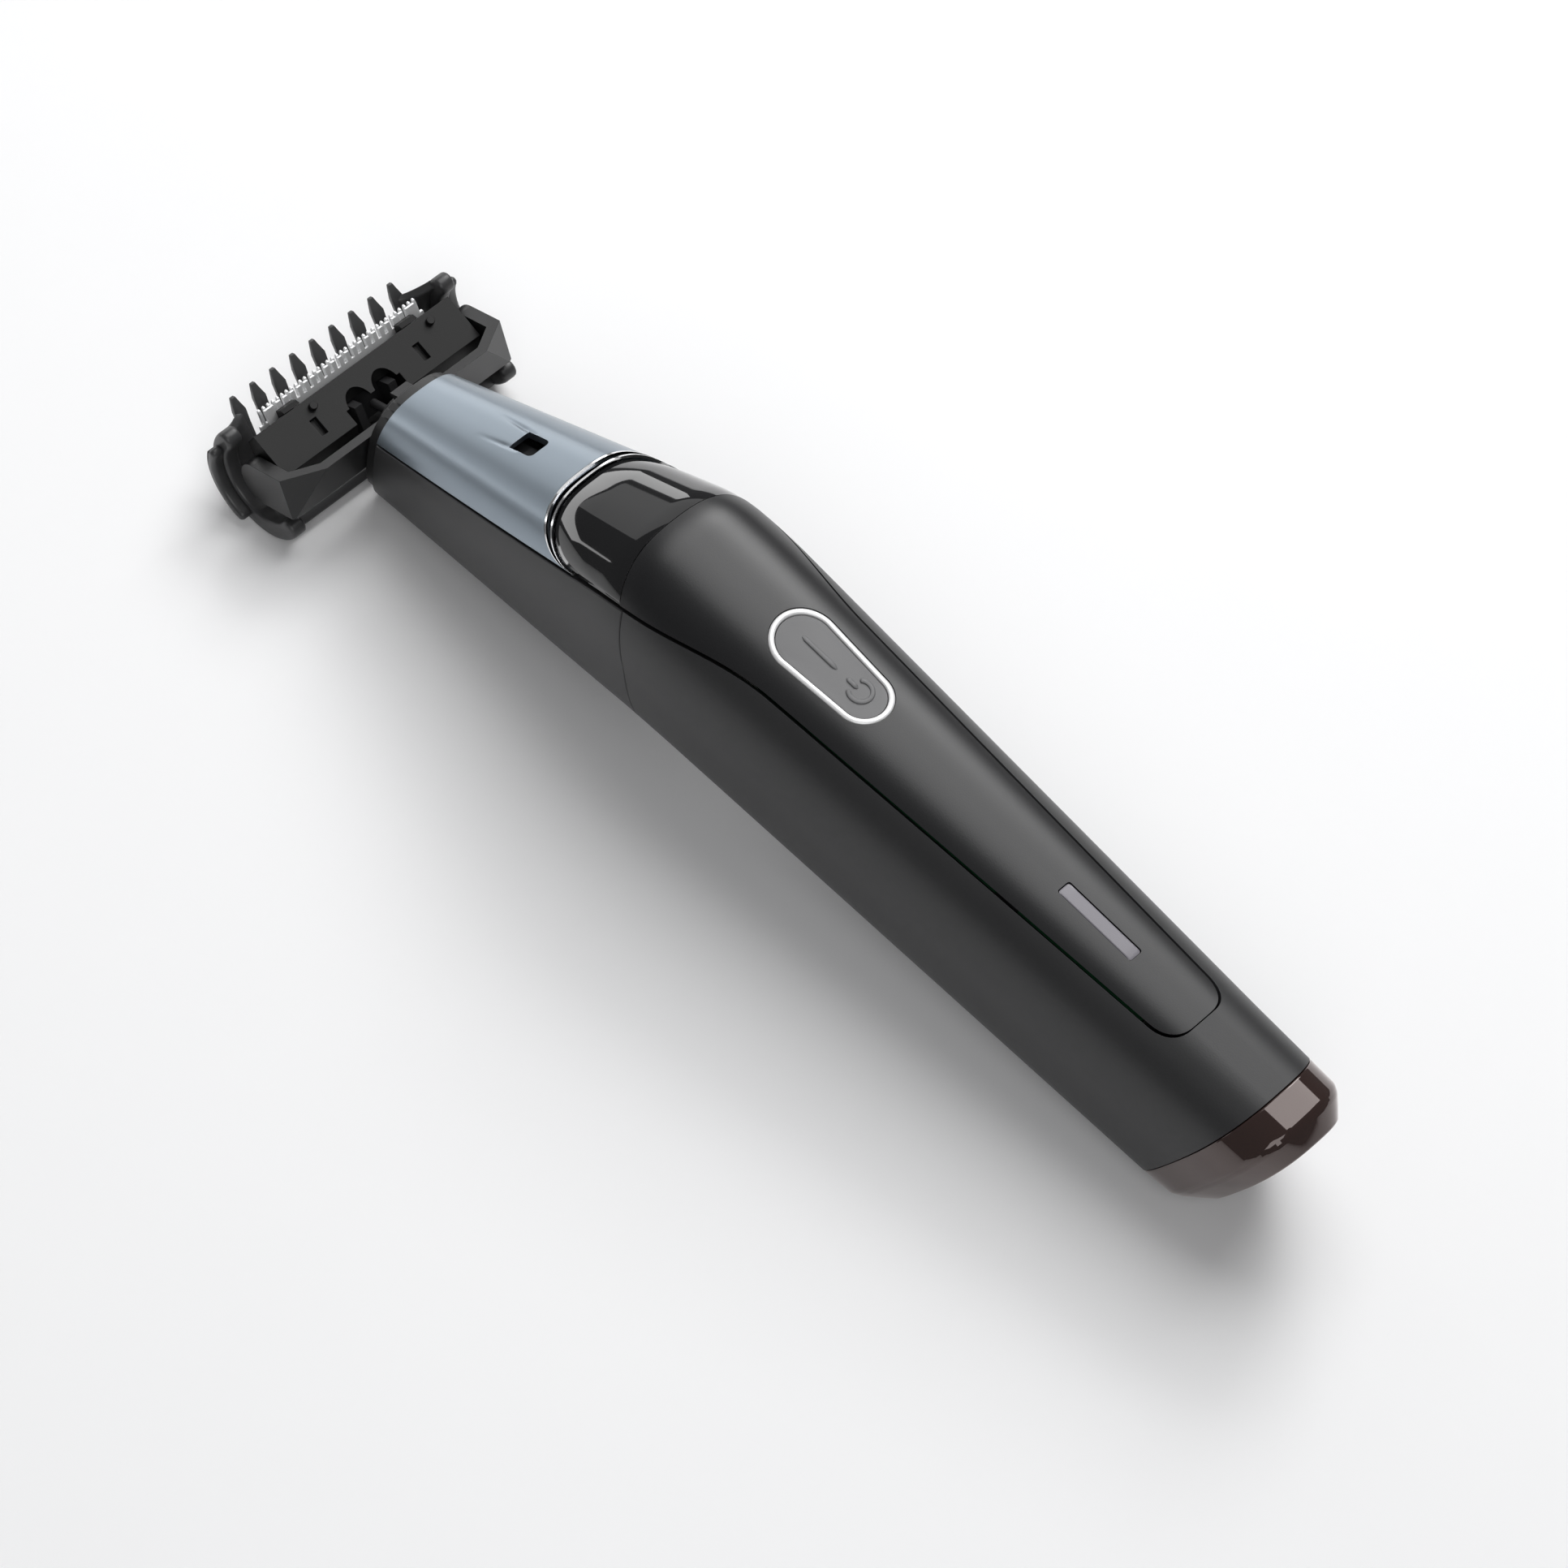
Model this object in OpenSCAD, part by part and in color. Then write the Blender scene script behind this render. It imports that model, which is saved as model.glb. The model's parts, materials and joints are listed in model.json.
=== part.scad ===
// Cordless body groomer lying on a table, button side up, on its base cap and comb.
// +Y runs from the base cap to the comb, +Z is up, X = 0 is the plane of symmetry.
// Stations are distances along Y from the rearmost point of the base cap.

/* [Handle] */
// Station of the ridge where the handle bends into the neck
handle_length = 100.3; // [85:0.1:120]
// Top of the handle at its rear end
rear_top = 22.7; // [21:0.1:26]
// Top of the ridge at the bend
ridge_top = 36.4; // [34:0.1:42]
// Underside at the bend
bend_bottom = 9.4; // [6:0.1:11]
// Station where the underside leaves the table
rest_station = 15.8; // [12:0.1:20]
// Half width at the rear end
rear_half_width = 8.7; // [8.5:0.1:11]
// Half width at the bend
bend_half_width = 12.5; // [11:0.1:15]
// Wall of the moulded shells
shell_wall = 1.5; // [1:0.1:1.8]

/* [Neck] */
// Length from the bend to the front of the neck
neck_length = 43.8; // [38:0.1:54]
// Top of the neck at its front
neck_top = 20.0; // [19.6:0.1:22]
// Underside of the neck at its front
neck_bottom = 1.0; // [0.5:0.1:2]
// Half width of the neck at its front
neck_half_width = 7.3; // [7.2:0.1:9]
// Wall of the metallic neck cover
cover_wall = 1.2; // [0.8:0.1:1.4]
// Width of the latch window
window_w = 3.3; // [2:0.1:4.5]
// Length of the latch window
window_l = 3.6; // [2.5:0.1:5]

/* [Fascia] */
// Station of the rear end of the fascia
fascia_rear = 17.8; // [15:0.1:22]
// Width of the gap between moulded panels
panel_gap = 0.12; // [0.05:0.01:0.2]
// Width of one chrome trim line
trim_w = 0.5; // [0.4:0.05:0.8]
// Distance from the ridge to the button's centre
button_setback = 24.9; // [20:0.1:28]
// Radius of the button's wide end
button_r = 3.5; // [3:0.1:4.2]
// Radius of the button's narrow end
button_tail_r = 2.9; // [2.4:0.1:3.4]
// Distance between the button's end centres
button_span = 9.3; // [7:0.1:11]
// Width of the button's bright ring
ring_w = 0.75; // [0.5:0.05:1]
// Travel of the button
button_travel = 0.6; // [0.4:0.1:0.8]
// Station of the rear end of the charge light
light_rear = 28; // [24:0.1:34]
// Length of the charge light
light_l = 11.2; // [8:0.1:14]
// Width of the charge light
light_w = 1.8; // [1.2:0.1:2.4]

/* [Base] */
// Length of the base cap along its band
cap_band = 4.1; // [3.6:0.1:5]
// Radius of the charging socket's bore
socket_r = 1.8; // [1.4:0.05:2.2]
// Depth of the charging socket's bore
socket_depth = 7; // [5:0.1:8]

/* [Inside] */
// Diameter of the battery cell
cell_d = 14; // [12:0.1:14.2]
// Length of the battery cell
cell_l = 49; // [40:0.1:50]
// Diameter of the motor can
motor_d = 12; // [10:0.1:12.4]
// Length of the motor can
motor_l = 20; // [16:0.1:22]
// Diameter of the drive shaft
shaft_d = 2; // [1.5:0.1:2.4]
// Radial running clearance of shafts and pins
run_gap = 0.05; // [0.02:0.01:0.09]
// Throw of the eccentric pin
throw = 0.7; // [0.4:0.05:0.8]
// Diameter of the eccentric pin
crank_pin_d = 1.2; // [1:0.1:1.4]

/* [Head] */
// Distance from the neck's front to the rocking pivot
pivot_reach = 10.1; // [9.6:0.1:12]
// Pitch of the neck and the drive line below level, in degrees
neck_pitch = 19.6; // [18:0.1:21]
// Half width of the yoke
yoke_half_width = 18; // [17.6:0.1:20]
// Wall of the yoke's cheeks
cheek_wall = 1.8; // [1.4:0.1:2]
// Height of the yoke's arms
yoke_h = 6; // [5:0.1:6.4]
// Diameter of the rocking pins
pivot_d = 2; // [1.6:0.1:2.4]
// Half travel of the cutter
cutter_travel = 0.7; // [0.4:0.05:0.8]

/* [Blade and comb] */
// Pitch of the blade's face from upright, in degrees
blade_pitch = 26.6; // [22:0.1:30]
// Half width of the fixed blade
blade_half_width = 13.3; // [12:0.1:15.2]
// Distance from tooth to tooth
tooth_pitch = 0.74; // [0.6:0.01:1]
// Length of the blade's teeth
tooth_l = 2.1; // [1.6:0.1:2.4]
// Thickness of the fixed blade
blade_t = 0.5; // [0.3:0.05:0.6]
// Thickness of the moving cutter
cutter_t = 0.4; // [0.3:0.05:0.45]
// Outer radius of the comb's arms, which the head rests on
comb_r = 7.8; // [7.6:0.1:9]
// Radial thickness of the comb's arms
comb_arm_t = 2.5; // [2:0.1:2.6]
// Width of each comb arm along the pivot axis
comb_arm_w = 2.2; // [1.6:0.1:3]
// Distance between neighbouring comb fins
fin_pitch = 3.22; // [2.9:0.01:3.3]
// Thickness of a comb fin
fin_t = 1.4; // [0.8:0.05:1.5]

/* [Hidden] */
$fn = 48;

fin_count = 9;
neck_end = handle_length + neck_length;
pivot_y = neck_end + pivot_reach;
pivot_z = comb_r;
fin_tip_ahead = 10.5;             // comb tips ahead of the pivot
fin_tip_above = 3.1;              // comb tips above the pivot
overall_length = pivot_y + fin_tip_ahead;
bend_under = handle_length - 5.7; // station of the bend in the underside
body_pitch = atan((ridge_top - rear_top) / handle_length);
cap_lean = 0.52;                  // cap planes lean this far back for each unit up
dome_l = 3.7;                     // the cap's end stands this far behind its band
dome_inset = 2.4;                 // and is this much smaller all round
seam_gap_deg = 0.9;               // panel gap seen as an angle round the section
arch_facets = 28;                 // columns shared by the panels that meet at the trim
top_power = 2.6;                  // fullness of the section above its middle
under_power = 3.2;                // fullness of the section below its middle
sliver = 0.01;

// ---- Body surface -------------------------------------------------------------------

// Smooth minimum, so that two straight runs meet in a small curve
function soft_min(a, b, k) =
    let (h = max(k - abs(a - b), 0) / k)
    min(a, b) - h * h * k / 4;

function run(y, y0, v0, y1, v1) = v0 + (v1 - v0) * (y - y0) / (y1 - y0);

function top_z(y) = soft_min(
    run(y, 0, rear_top, handle_length, ridge_top),
    run(y, handle_length, ridge_top, neck_end, neck_top), 1.6);

function bottom_z(y) = max(0, soft_min(
    run(y, rest_station, 0, bend_under, bend_bottom),
    run(y, bend_under, bend_bottom, neck_end, neck_bottom), 1.5));

function half_w(y) = soft_min(
    run(y, 0, rear_half_width, handle_length, bend_half_width),
    run(y, handle_length, bend_half_width - 0.5, neck_end, neck_half_width), 1);

function signed_pow(v, p) = sign(v) * pow(abs(v), p);

// Point of the surface at a station; angle runs from the top towards +X, inset goes inwards
function skin(y, angle, inset) =
    let (zt = top_z(y) - inset, zb = bottom_z(y) + inset, a = half_w(y) - inset,
         n = cos(angle) >= 0 ? top_power : under_power)
    [a * signed_pow(sin(angle), 2 / n), y,
     (zt + zb) / 2 + (zt - zb) / 2 * signed_pow(cos(angle), 2 / n)];

// Angle of the seam between the top panels and the lower shells
function handle_seam(y) = 19.5 + 0.2 * y * 100.3 / handle_length;
function neck_seam(y) = run(y, handle_length, 59.5, neck_end, 69);
function ease(v) = let (c = min(max(v, 0), 1)) c * c * (3 - 2 * c);
function seam(y) =
    let (b = ease((y - handle_length + 22) / 24))
    handle_seam(y) * (1 - b) + neck_seam(y) * b;

// Seam with the rounded rear corners of the fascia
corner_l = 3.8;
function seam_rounded(y) =
    let (q = min(max((y - fascia_rear) / corner_l, 0), 1))
    seam(y) * (0.2 + 0.8 * pow(1 - pow(1 - q, 2.2), 1 / 2.2));

// Station on a plane that leans back: y = y_top + lean * (z_top - z)
function lean_station(angle, inset, y_top, z_top, lean, y, n = 4) =
    n == 0 ? y : lean_station(angle, inset, y_top, z_top, lean,
        y_top + lean * (z_top - skin(y, angle, inset)[2]), n - 1);

// Skins two grids of points into a wall; the first bands close on themselves right round
module skinned(outer, inner, bands) {
    ns = len(outer);
    na = len(outer[0]);
    off = ns * na;
    function o(i, j) = i * na + j % na;
    function q(i, j) = off + i * na + j % na;
    function last(i) = i < bands ? na - 1 : na - 2;
    function end_wall(i, j) =
        [[o(i, j), q(i, j + 1), o(i, j + 1)], [o(i, j), q(i, j), q(i, j + 1)]];
    faces = concat(
        [for (i = [0:ns - 2]) for (j = [0:last(i)]) each
            [[o(i, j), o(i + 1, j), o(i + 1, j + 1)], [o(i, j), o(i + 1, j + 1), o(i, j + 1)],
             [q(i, j), q(i + 1, j + 1), q(i + 1, j)], [q(i, j), q(i, j + 1), q(i + 1, j + 1)]]],
        [for (j = [0:last(0)]) each
            [[o(0, j), o(0, j + 1), q(0, j + 1)], [o(0, j), q(0, j + 1), q(0, j)]]],
        [for (j = [0:last(ns - 2)]) each end_wall(ns - 1, j)],
        bands > 0 && bands < ns - 1 ? end_wall(bands, na - 1) : [],
        [for (i = [0:ns - 2]) if (i >= bands) each
            [[o(i, 0), q(i, 0), q(i + 1, 0)], [o(i, 0), q(i + 1, 0), o(i + 1, 0)],
             [o(i, na - 1), q(i + 1, na - 1), q(i, na - 1)],
             [o(i, na - 1), o(i + 1, na - 1), q(i + 1, na - 1)]]]);
    polyhedron(concat([for (r = outer) each r], [for (r = inner) each r]), faces, convexity = 6);
}

// A curved panel: station(s, t, inset) and angle(y, t) give each point, s and t in 0..1
module panel(station, angle, inset0, inset1, steps, across, bands = 0) {
    function grid(inset) = [for (s = steps) [for (j = [0:across])
        let (t = j / across, y = station(s, t, inset)) skin(y, angle(y, t), inset)]];
    skinned(grid(inset0), grid(inset1), bands);
}

function even(n) = [for (i = [0:n]) i / n];

// ---- Borders of the panels ----------------------------------------------------------

cap_joint_y = (cap_band + dome_l - cap_lean * dome_inset) / (1 + cap_lean * tan(body_pitch));
cap_joint_z = top_z(cap_joint_y);
parting_y = handle_length - 1.7;
parting_z = top_z(parting_y) - 5.9;
matte_apex = handle_length + 1;
trim_seam_y = handle_length + 7.4;
trim_apex = handle_length + 15.4;
cover_front_lean = 0.12;

// Cross fraction t in 0..1 becomes u in -1..1 from seam to seam
function cross(t) = 2 * t - 1;
function matte_edge(t) = matte_apex - 1.9 * pow(cross(t), 2);
function arch(t) = pow(max(0, 1 - pow(abs(cross(t)), 2.2)), 1 / 2.2);
// Arch of the trim, moved forward by d
function trim_edge(t, d) = trim_seam_y + d * 0.6 + (trim_apex - trim_seam_y + d * 0.4) * arch(t);
function top_angle(y, t) = cross(t) * (seam(y) - seam_gap_deg);
function under_angle(y, t) = seam(y) + seam_gap_deg + t * (360 - 2 * seam(y) - 2 * seam_gap_deg);
function cap_edge(angle, inset, d) =
    lean_station(angle, inset, cap_joint_y + d, cap_joint_z, cap_lean, cap_joint_y + d);
function parting(angle, inset, d) =
    lean_station(angle, inset, parting_y + d, parting_z, -0.19, parting_y + d);
function neck_front(angle, inset, d) =
    lean_station(angle, inset, neck_end + 0.3 + d, neck_top, cover_front_lean, neck_end + d);

// ---- Frames -------------------------------------------------------------------------

module placed() translate([0, -overall_length / 2, 0]) children();

// On the handle's top line: local Z is the outward normal, local Y runs to the head
module on_top(y)
    translate([0, y, run(y, 0, rear_top, handle_length, ridge_top)])
    rotate([body_pitch, 0, 0]) children();

// On the drive line: origin at the rocking pivot, local Y runs out of the neck
module on_drive() translate([0, pivot_y, pivot_z]) rotate([-neck_pitch, 0, 0]) children();

// On the blade: origin at the pivot, local Z runs towards the teeth, local Y forwards
module on_blade() translate([0, pivot_y, pivot_z]) rotate([-blade_pitch, 0, 0]) children();

// Centre of the base cap's end face: local Z points out of it
socket_z = 12;
cap_end_y = cap_joint_y - cap_band - dome_l + cap_lean * (cap_joint_z - socket_z);
module on_cap_end()
    translate([0, cap_end_y, socket_z]) rotate([90 + atan(cap_lean), 0, 0]) children();

// Extrudes a (Y, Z) outline along X, centred on x
module slab(x, w) translate([x - w / 2, 0, 0]) rotate([90, 0, 90]) linear_extrude(w) children();

// Cylinder along Y from y0 to y1
module rod(r, y0, y1) translate([0, y0, 0]) rotate([-90, 0, 0]) cylinder(r = r, h = y1 - y0);

module mirrored() {
    children();
    mirror([1, 0, 0]) children();
}

// ---- Handle shells ------------------------------------------------------------------

corner_steps = [0, 0.004, 0.012, 0.022, 0.033, 0.045];
seam_steps = concat(corner_steps, [0.1, 0.3, 0.5, 0.68, 0.74, 0.8, 0.87, 0.94, 1]);
sleeve_end = fascia_rear - panel_gap;

function shell_angle(y, t) =
    let (a = seam_rounded(y + panel_gap) + seam_gap_deg) a + t * (360 - 2 * a);

module back_shell() color([0.07, 0.07, 0.075]) placed()
    panel(function(s, t, g) let (y0 = cap_edge(shell_angle(0, t), g, panel_gap / 2),
            y1 = parting(shell_angle(parting_y, t), g, -panel_gap / 2))
            s < 0 ? y0 + (sleeve_end - y0) * (1 + s) : sleeve_end + (y1 - sleeve_end) * s,
        function(y, t) shell_angle(y, t), 0, shell_wall, concat([-1, -0.5], seam_steps), 36, 2);

// Outline of a button-shaped pill, grown by g
function pill(g) = concat(
    [for (a = [-75:15:75]) [(button_tail_r + g) * sin(a), -button_span / 2 - (button_tail_r + g) * cos(a)]],
    [for (a = [105:15:255]) [(button_r + g) * sin(a), button_span / 2 - (button_r + g) * cos(a)]]);

module pill_prism(g, z0, z1)
    on_top(handle_length - button_setback) translate([0, 0, z0]) linear_extrude(z1 - z0) polygon(pill(g));

module light_prism(g, z0, z1)
    on_top(light_rear + light_l / 2) translate([-light_w / 2 - g, -light_l / 2 - g, z0])
    cube([light_w + 2 * g, light_l + 2 * g, z1 - z0]);

module front_fascia() color([0.05, 0.05, 0.055]) placed() difference() {
    panel(function(s, t, g) fascia_rear + (matte_edge(t) - panel_gap / 2 - fascia_rear) * s,
        function(y, t) cross(t) * (seam_rounded(y) - seam_gap_deg), 0, shell_wall, seam_steps, 18);
    pill_prism(ring_w + 0.05, -4, 2);
    light_prism(0.05, -4, 2);
}

module gloss_collar() color([0.02, 0.02, 0.022]) placed()
    panel(function(s, t, g) let (y0 = matte_edge(t) + panel_gap / 2,
            y1 = trim_edge(t, -trim_w - panel_gap)) y0 + (y1 - y0) * s,
        function(y, t) top_angle(y, t), 0.05, shell_wall, even(4), arch_facets);

module trim(d) panel(function(s, t, g) trim_edge(t, d + s * trim_w),
        function(y, t) top_angle(y, t), -0.06, cover_wall, even(1), arch_facets);

module chrome_trim_rear() color([0.85, 0.86, 0.88]) placed() trim(-trim_w);
module chrome_trim_front() color([0.85, 0.86, 0.88]) placed() trim(trim_w);

window_y = neck_end - 18.7;
module neck_cover() color([0.55, 0.6, 0.66]) placed() difference() {
    panel(function(s, t, g) let (y0 = trim_edge(t, 2 * trim_w + panel_gap),
            y1 = neck_front(top_angle(neck_end, t), g, 0)) y0 + (y1 - y0) * s,
        function(y, t) top_angle(y, t), 0, cover_wall, even(6), arch_facets);
    translate([-window_w / 2, window_y - window_l / 2, 0]) cube([window_w, window_l, 60]);
}

module neck_shell() color([0.07, 0.07, 0.075]) placed()
    panel(function(s, t, g) let (a = under_angle(parting_y, t), y0 = parting(a, g, panel_gap / 2),
            y1 = neck_front(under_angle(neck_end, t), g, 0)) y0 + (y1 - y0) * s,
        function(y, t) under_angle(y, t), 0, shell_wall, even(6), 30);

ring_front = 1.6;                 // the ring shows this far ahead of the neck
ring_step = 0.12;
ring_depth_in = shell_wall + panel_gap;
// Steps of the ring's outside: distance ahead of the neck, inset
ring_profile = [[-1, ring_depth_in], [ring_step, ring_depth_in], [ring_step, 0.35], [ring_front, 0.35]];

slot_roof = top_z(neck_end - 0.7) - ring_depth_in;

function ring_grid(profile, inset) = [for (p = profile) [for (j = [0:35])
    let (a = 10 * j, g = inset > 0 ? inset : p[1]) skin(neck_front(a, g, p[0]), a, g)]];

module neck_ring() color([0.1, 0.09, 0.09]) placed() difference() {
    skinned(ring_grid(ring_profile, 0),
        ring_grid([[-1], [0], [ring_step], [ring_front]], ring_depth_in + 0.5), 3);
    translate([-tongue_half_w - 0.4, neck_end - 10, neck_top - 6])
        cube([2 * tongue_half_w + 0.8, 20, slot_roof - neck_top + 6]);
}

// ---- Base ---------------------------------------------------------------------------

function end_ring(inset, d) = [for (a = [0:10:350]) skin(cap_edge(a, inset, d), a, inset)];

// Solid between two cap planes with caps at both ends
module cap_block(rings) {
    na = len(rings[0]);
    nr = len(rings);
    faces = concat(
        [for (i = [0:nr - 2]) for (j = [0:na - 1]) each
            [[i * na + j, (i + 1) * na + j, (i + 1) * na + (j + 1) % na],
             [i * na + j, (i + 1) * na + (j + 1) % na, i * na + (j + 1) % na]]],
        [[for (j = [0:na - 1]) j]],
        [[for (j = [na - 1:-1:0]) (nr - 1) * na + j]]);
    polyhedron([for (r = rings) each r], faces, convexity = 4);
}

socket_barrel_r = socket_r + 1.3;
module base_cap() color([0.16, 0.1, 0.09]) placed() difference() {
    cap_block([end_ring(dome_inset, -cap_band - dome_l), end_ring(0.35, -cap_band - 0.9),
        end_ring(0, -cap_band), end_ring(0, -panel_gap / 2)]);
    cap_block([end_ring(shell_wall, -cap_band - 0.1), end_ring(shell_wall, 2)]);
    on_cap_end() translate([0, 0, -6]) cylinder(r = socket_barrel_r + 0.05, h = 12);
}

module charge_socket() color([0.05, 0.05, 0.05]) placed() on_cap_end() difference() {
    translate([0, 0, -socket_depth - 1]) cylinder(r = socket_barrel_r, h = socket_depth + 1);
    translate([0, 0, -socket_depth]) cylinder(r = socket_r, h = socket_depth + 1);
}

module socket_contacts() color([0.8, 0.7, 0.4]) placed() on_cap_end() for (x = [-1.5, 1.5])
    translate([x - 0.4, -0.2, -socket_depth - 4]) cube([0.8, 0.4, 3 - sliver]);

// ---- Button and light ---------------------------------------------------------------

button_y = handle_length - button_setback;
button_gap = 0.1;
ring_depth = shell_wall + 0.8;
module button_ring() color([0.9, 0.9, 0.92]) placed() difference() {
    pill_prism(ring_w, -ring_depth, -0.15);
    pill_prism(0, -ring_depth - 1, 1);
}

module power_button() color([0.3, 0.3, 0.31]) placed() {
    pill_prism(-button_gap, -1.9, -0.25);
    on_top(button_y) translate([0, 0, -3]) cylinder(r = 1.2, h = 1.2);
}

module button_seal() color([0.12, 0.12, 0.12]) placed() difference() {
    pill_prism(ring_w + 0.8, -ring_depth - 0.5, -ring_depth - sliver);
    pill_prism(0.1, -ring_depth - 2, 1);
}

module led_window() color([0.6, 0.58, 0.62]) placed() light_prism(0, -shell_wall, -0.02);

// ---- Electronics --------------------------------------------------------------------

board_top = -4;
board_t = 1.2;
board_rear = 23;
board_front = handle_length - 9;
board_half_w = 6;
screw_stations = [board_rear + 30, board_front - 4];
screw_l = 2.7;

module circuit_board() color([0.1, 0.35, 0.2]) placed() on_top(board_rear) difference() {
    translate([-board_half_w, 0, board_top - board_t])
        cube([2 * board_half_w, board_front - board_rear, board_t]);
    for (y = screw_stations) translate([0, y - board_rear, board_top - 3]) cylinder(r = 1.1, h = 4);
}

module board_components() color([0.15, 0.15, 0.17]) placed() on_top(board_rear)
    for (p = [[-3.5, 20, 2.4, 3, 0.9], [2.8, 21, 3.6, 3.6, 1], [0, 24.6, 5, 2.2, 0.9],
              [-3, 35, 2, 4, 1], [3, 36, 2, 3, 1], [0, screw_stations[1] - board_rear - 3.3, 3.4, 3, 1]])
        translate([p[0] - p[2] / 2, p[1] - p[3] / 2, board_top]) cube([p[2], p[3], p[4]]);

module tact_switch() color([0.75, 0.75, 0.72]) placed() on_top(button_y) {
    translate([-2, -2, board_top]) cube([4, 4, 0.25]);
    translate([0, 0, board_top + 0.2]) cylinder(r = 0.8, h = 0.15);
}

module led_chip() color([0.95, 0.95, 0.85]) placed() for (d = [0.3, 0.7])
    on_top(light_rear + light_l * d) translate([-0.8, -0.5, board_top]) cube([1.6, 1, 0.7]);

module board_screws() color([0.7, 0.7, 0.72]) placed() on_top(board_rear) for (y = screw_stations)
    translate([0, y - board_rear, 0]) {
        translate([0, 0, board_top - screw_l]) cylinder(r = 1, h = screw_l + 2 * sliver);
        translate([0, 0, board_top + sliver]) cylinder(r = 1.8, h = 0.9);
    }

plate_top = board_top - board_t - 0.4;
plate_t = 1;
cell_gap = 0.3;
cell_z = plate_top - plate_t - cell_gap - cell_d / 2;
cell_rear = 25;
rib_t = 1.2;
rib_gap = 0.5;

module battery_cell() color([0.2, 0.45, 0.7]) placed() on_top(cell_rear)
    translate([0, 0, cell_z]) rod(cell_d / 2, 0, cell_l);

module battery_tabs() color([0.8, 0.8, 0.78]) placed() on_top(cell_rear) translate([0, 0, cell_z])
    for (y = [-0.3 - sliver, cell_l + sliver]) translate([-2.5, y, -2]) cube([5, 0.3, 8]);

module chassis() color([0.85, 0.85, 0.82]) placed() on_top(cell_rear) difference() {
    union() {
        translate([-board_half_w, -rib_gap - rib_t, plate_top - plate_t])
            cube([2 * board_half_w, cell_l + 16, plate_t]);
        for (y = [-rib_gap - rib_t, cell_l + rib_gap])
            translate([-board_half_w, y, cell_z - 4]) cube([2 * board_half_w, rib_t, 4 - cell_z + plate_top]);
    }
    for (y = screw_stations) translate([0, y - cell_rear, plate_top - 3]) cylinder(r = 1.02, h = 5);
}

// ---- Drive --------------------------------------------------------------------------

motor_front = 7.8 - neck_length;  // stays at the same distance from the bend
motor_rear = motor_front - motor_l;
shaft_hole_r = shaft_d / 2 + run_gap;

module motor_can() color([0.75, 0.76, 0.78]) placed() on_drive() difference() {
    intersection() {
        rod(motor_d / 2, motor_rear, motor_front);
        translate([-motor_d / 2, motor_rear, -motor_d * 0.42]) cube([motor_d, motor_l, motor_d * 0.84]);
    }
    rod(shaft_hole_r, motor_rear - 1, motor_front + 1);
}

module motor_endcap() color([0.1, 0.2, 0.5]) placed() on_drive() difference() {
    rod(motor_d / 2 - 1, motor_rear - 2, motor_rear - sliver);
    rod(shaft_hole_r, motor_rear - 1.2, motor_rear + 1);
}

module motor_leads() color([0.7, 0.1, 0.1]) placed() on_drive() for (x = [-3, 3])
    translate([x, 0, 1.5]) rod(0.45, motor_rear - 6, motor_rear - 2 - sliver);

// Tube that carries the bush and receives the head's stem
stem_r = 4.1;
core_bore_r = stem_r + 0.1;
core_r = core_bore_r + 1.1;
core_front = -13.6;
core_rear = motor_front + 0.6;
bush_l = 4;
bush_r = 2.5;
stem_rear = core_front - 10;
ear_l = 6;
ear_y = pivot_y + (core_rear + ear_l) * cos(neck_pitch);
ear_play = 0.288;
ear_half = half_w(ear_y) - shell_wall - ear_play;

module neck_core() color([0.2, 0.2, 0.21]) placed() on_drive() difference() {
    union() {
        rod(core_r, core_rear, core_front);
        translate([-ear_half, core_rear, -1.2]) cube([2 * ear_half, ear_l, 2.4]);
    }
    rod(core_bore_r, stem_rear - 1, core_front + 1);
    rod(bush_r, core_rear - 1, core_rear + bush_l);
    rod(bush_r - 0.8, core_rear - 1, stem_rear);
    mirrored() translate([6.4, core_rear + 3, -2]) cylinder(r = 0.62, h = 4);
}

module core_screws() color([0.7, 0.7, 0.72]) placed() on_drive() mirrored()
    translate([6.4, core_rear + 3, 0]) {
        translate([0, 0, -3]) cylinder(r = 0.6, h = 4.2 + sliver);
        translate([0, 0, 1.2 + sliver]) cylinder(r = 1.1, h = 0.8);
    }

module shaft_bush() color([0.75, 0.6, 0.3]) placed() on_drive() difference() {
    rod(bush_r, core_rear, core_rear + bush_l);
    rod(shaft_hole_r, core_rear - 1, core_rear + bush_l + 1);
}

cam_r = 2.1;
cam_front = -5.6;
cam_l = 2;
crank_tip = -1.2;
module drive_shaft() color([0.8, 0.8, 0.82]) placed() on_drive()
    rod(shaft_d / 2, motor_rear - 1, cam_front - cam_l);

module eccentric_cam() color([0.9, 0.9, 0.88]) placed() on_drive() {
    rod(cam_r, cam_front - cam_l, cam_front);
    translate([0, 0, throw]) rod(crank_pin_d / 2, cam_front - sliver, crank_tip);
}

// ---- Head ---------------------------------------------------------------------------

cheek_inner = yoke_half_width - cheek_wall;
head_bore_r = cam_r + 0.5;
arm_t = 2;

// Everything behind the neck ring's front, in the station frame
module behind_neck(d) translate([0, neck_end + 0.3 + ring_front + d, neck_top])
    rotate([atan(cover_front_lean), 0, 0]) translate([-40, -60, -60]) cube([80, 60, 80]);

tray_front = -4.6;
tray_floor = 1;
yoke_wall = 1.4;
yoke_plan = [[8, -12], [yoke_half_width, -5.5], [yoke_half_width, 4], [cheek_inner, 4],
    [cheek_inner, tray_front], [0, tray_front], [0, -12]];
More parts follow.
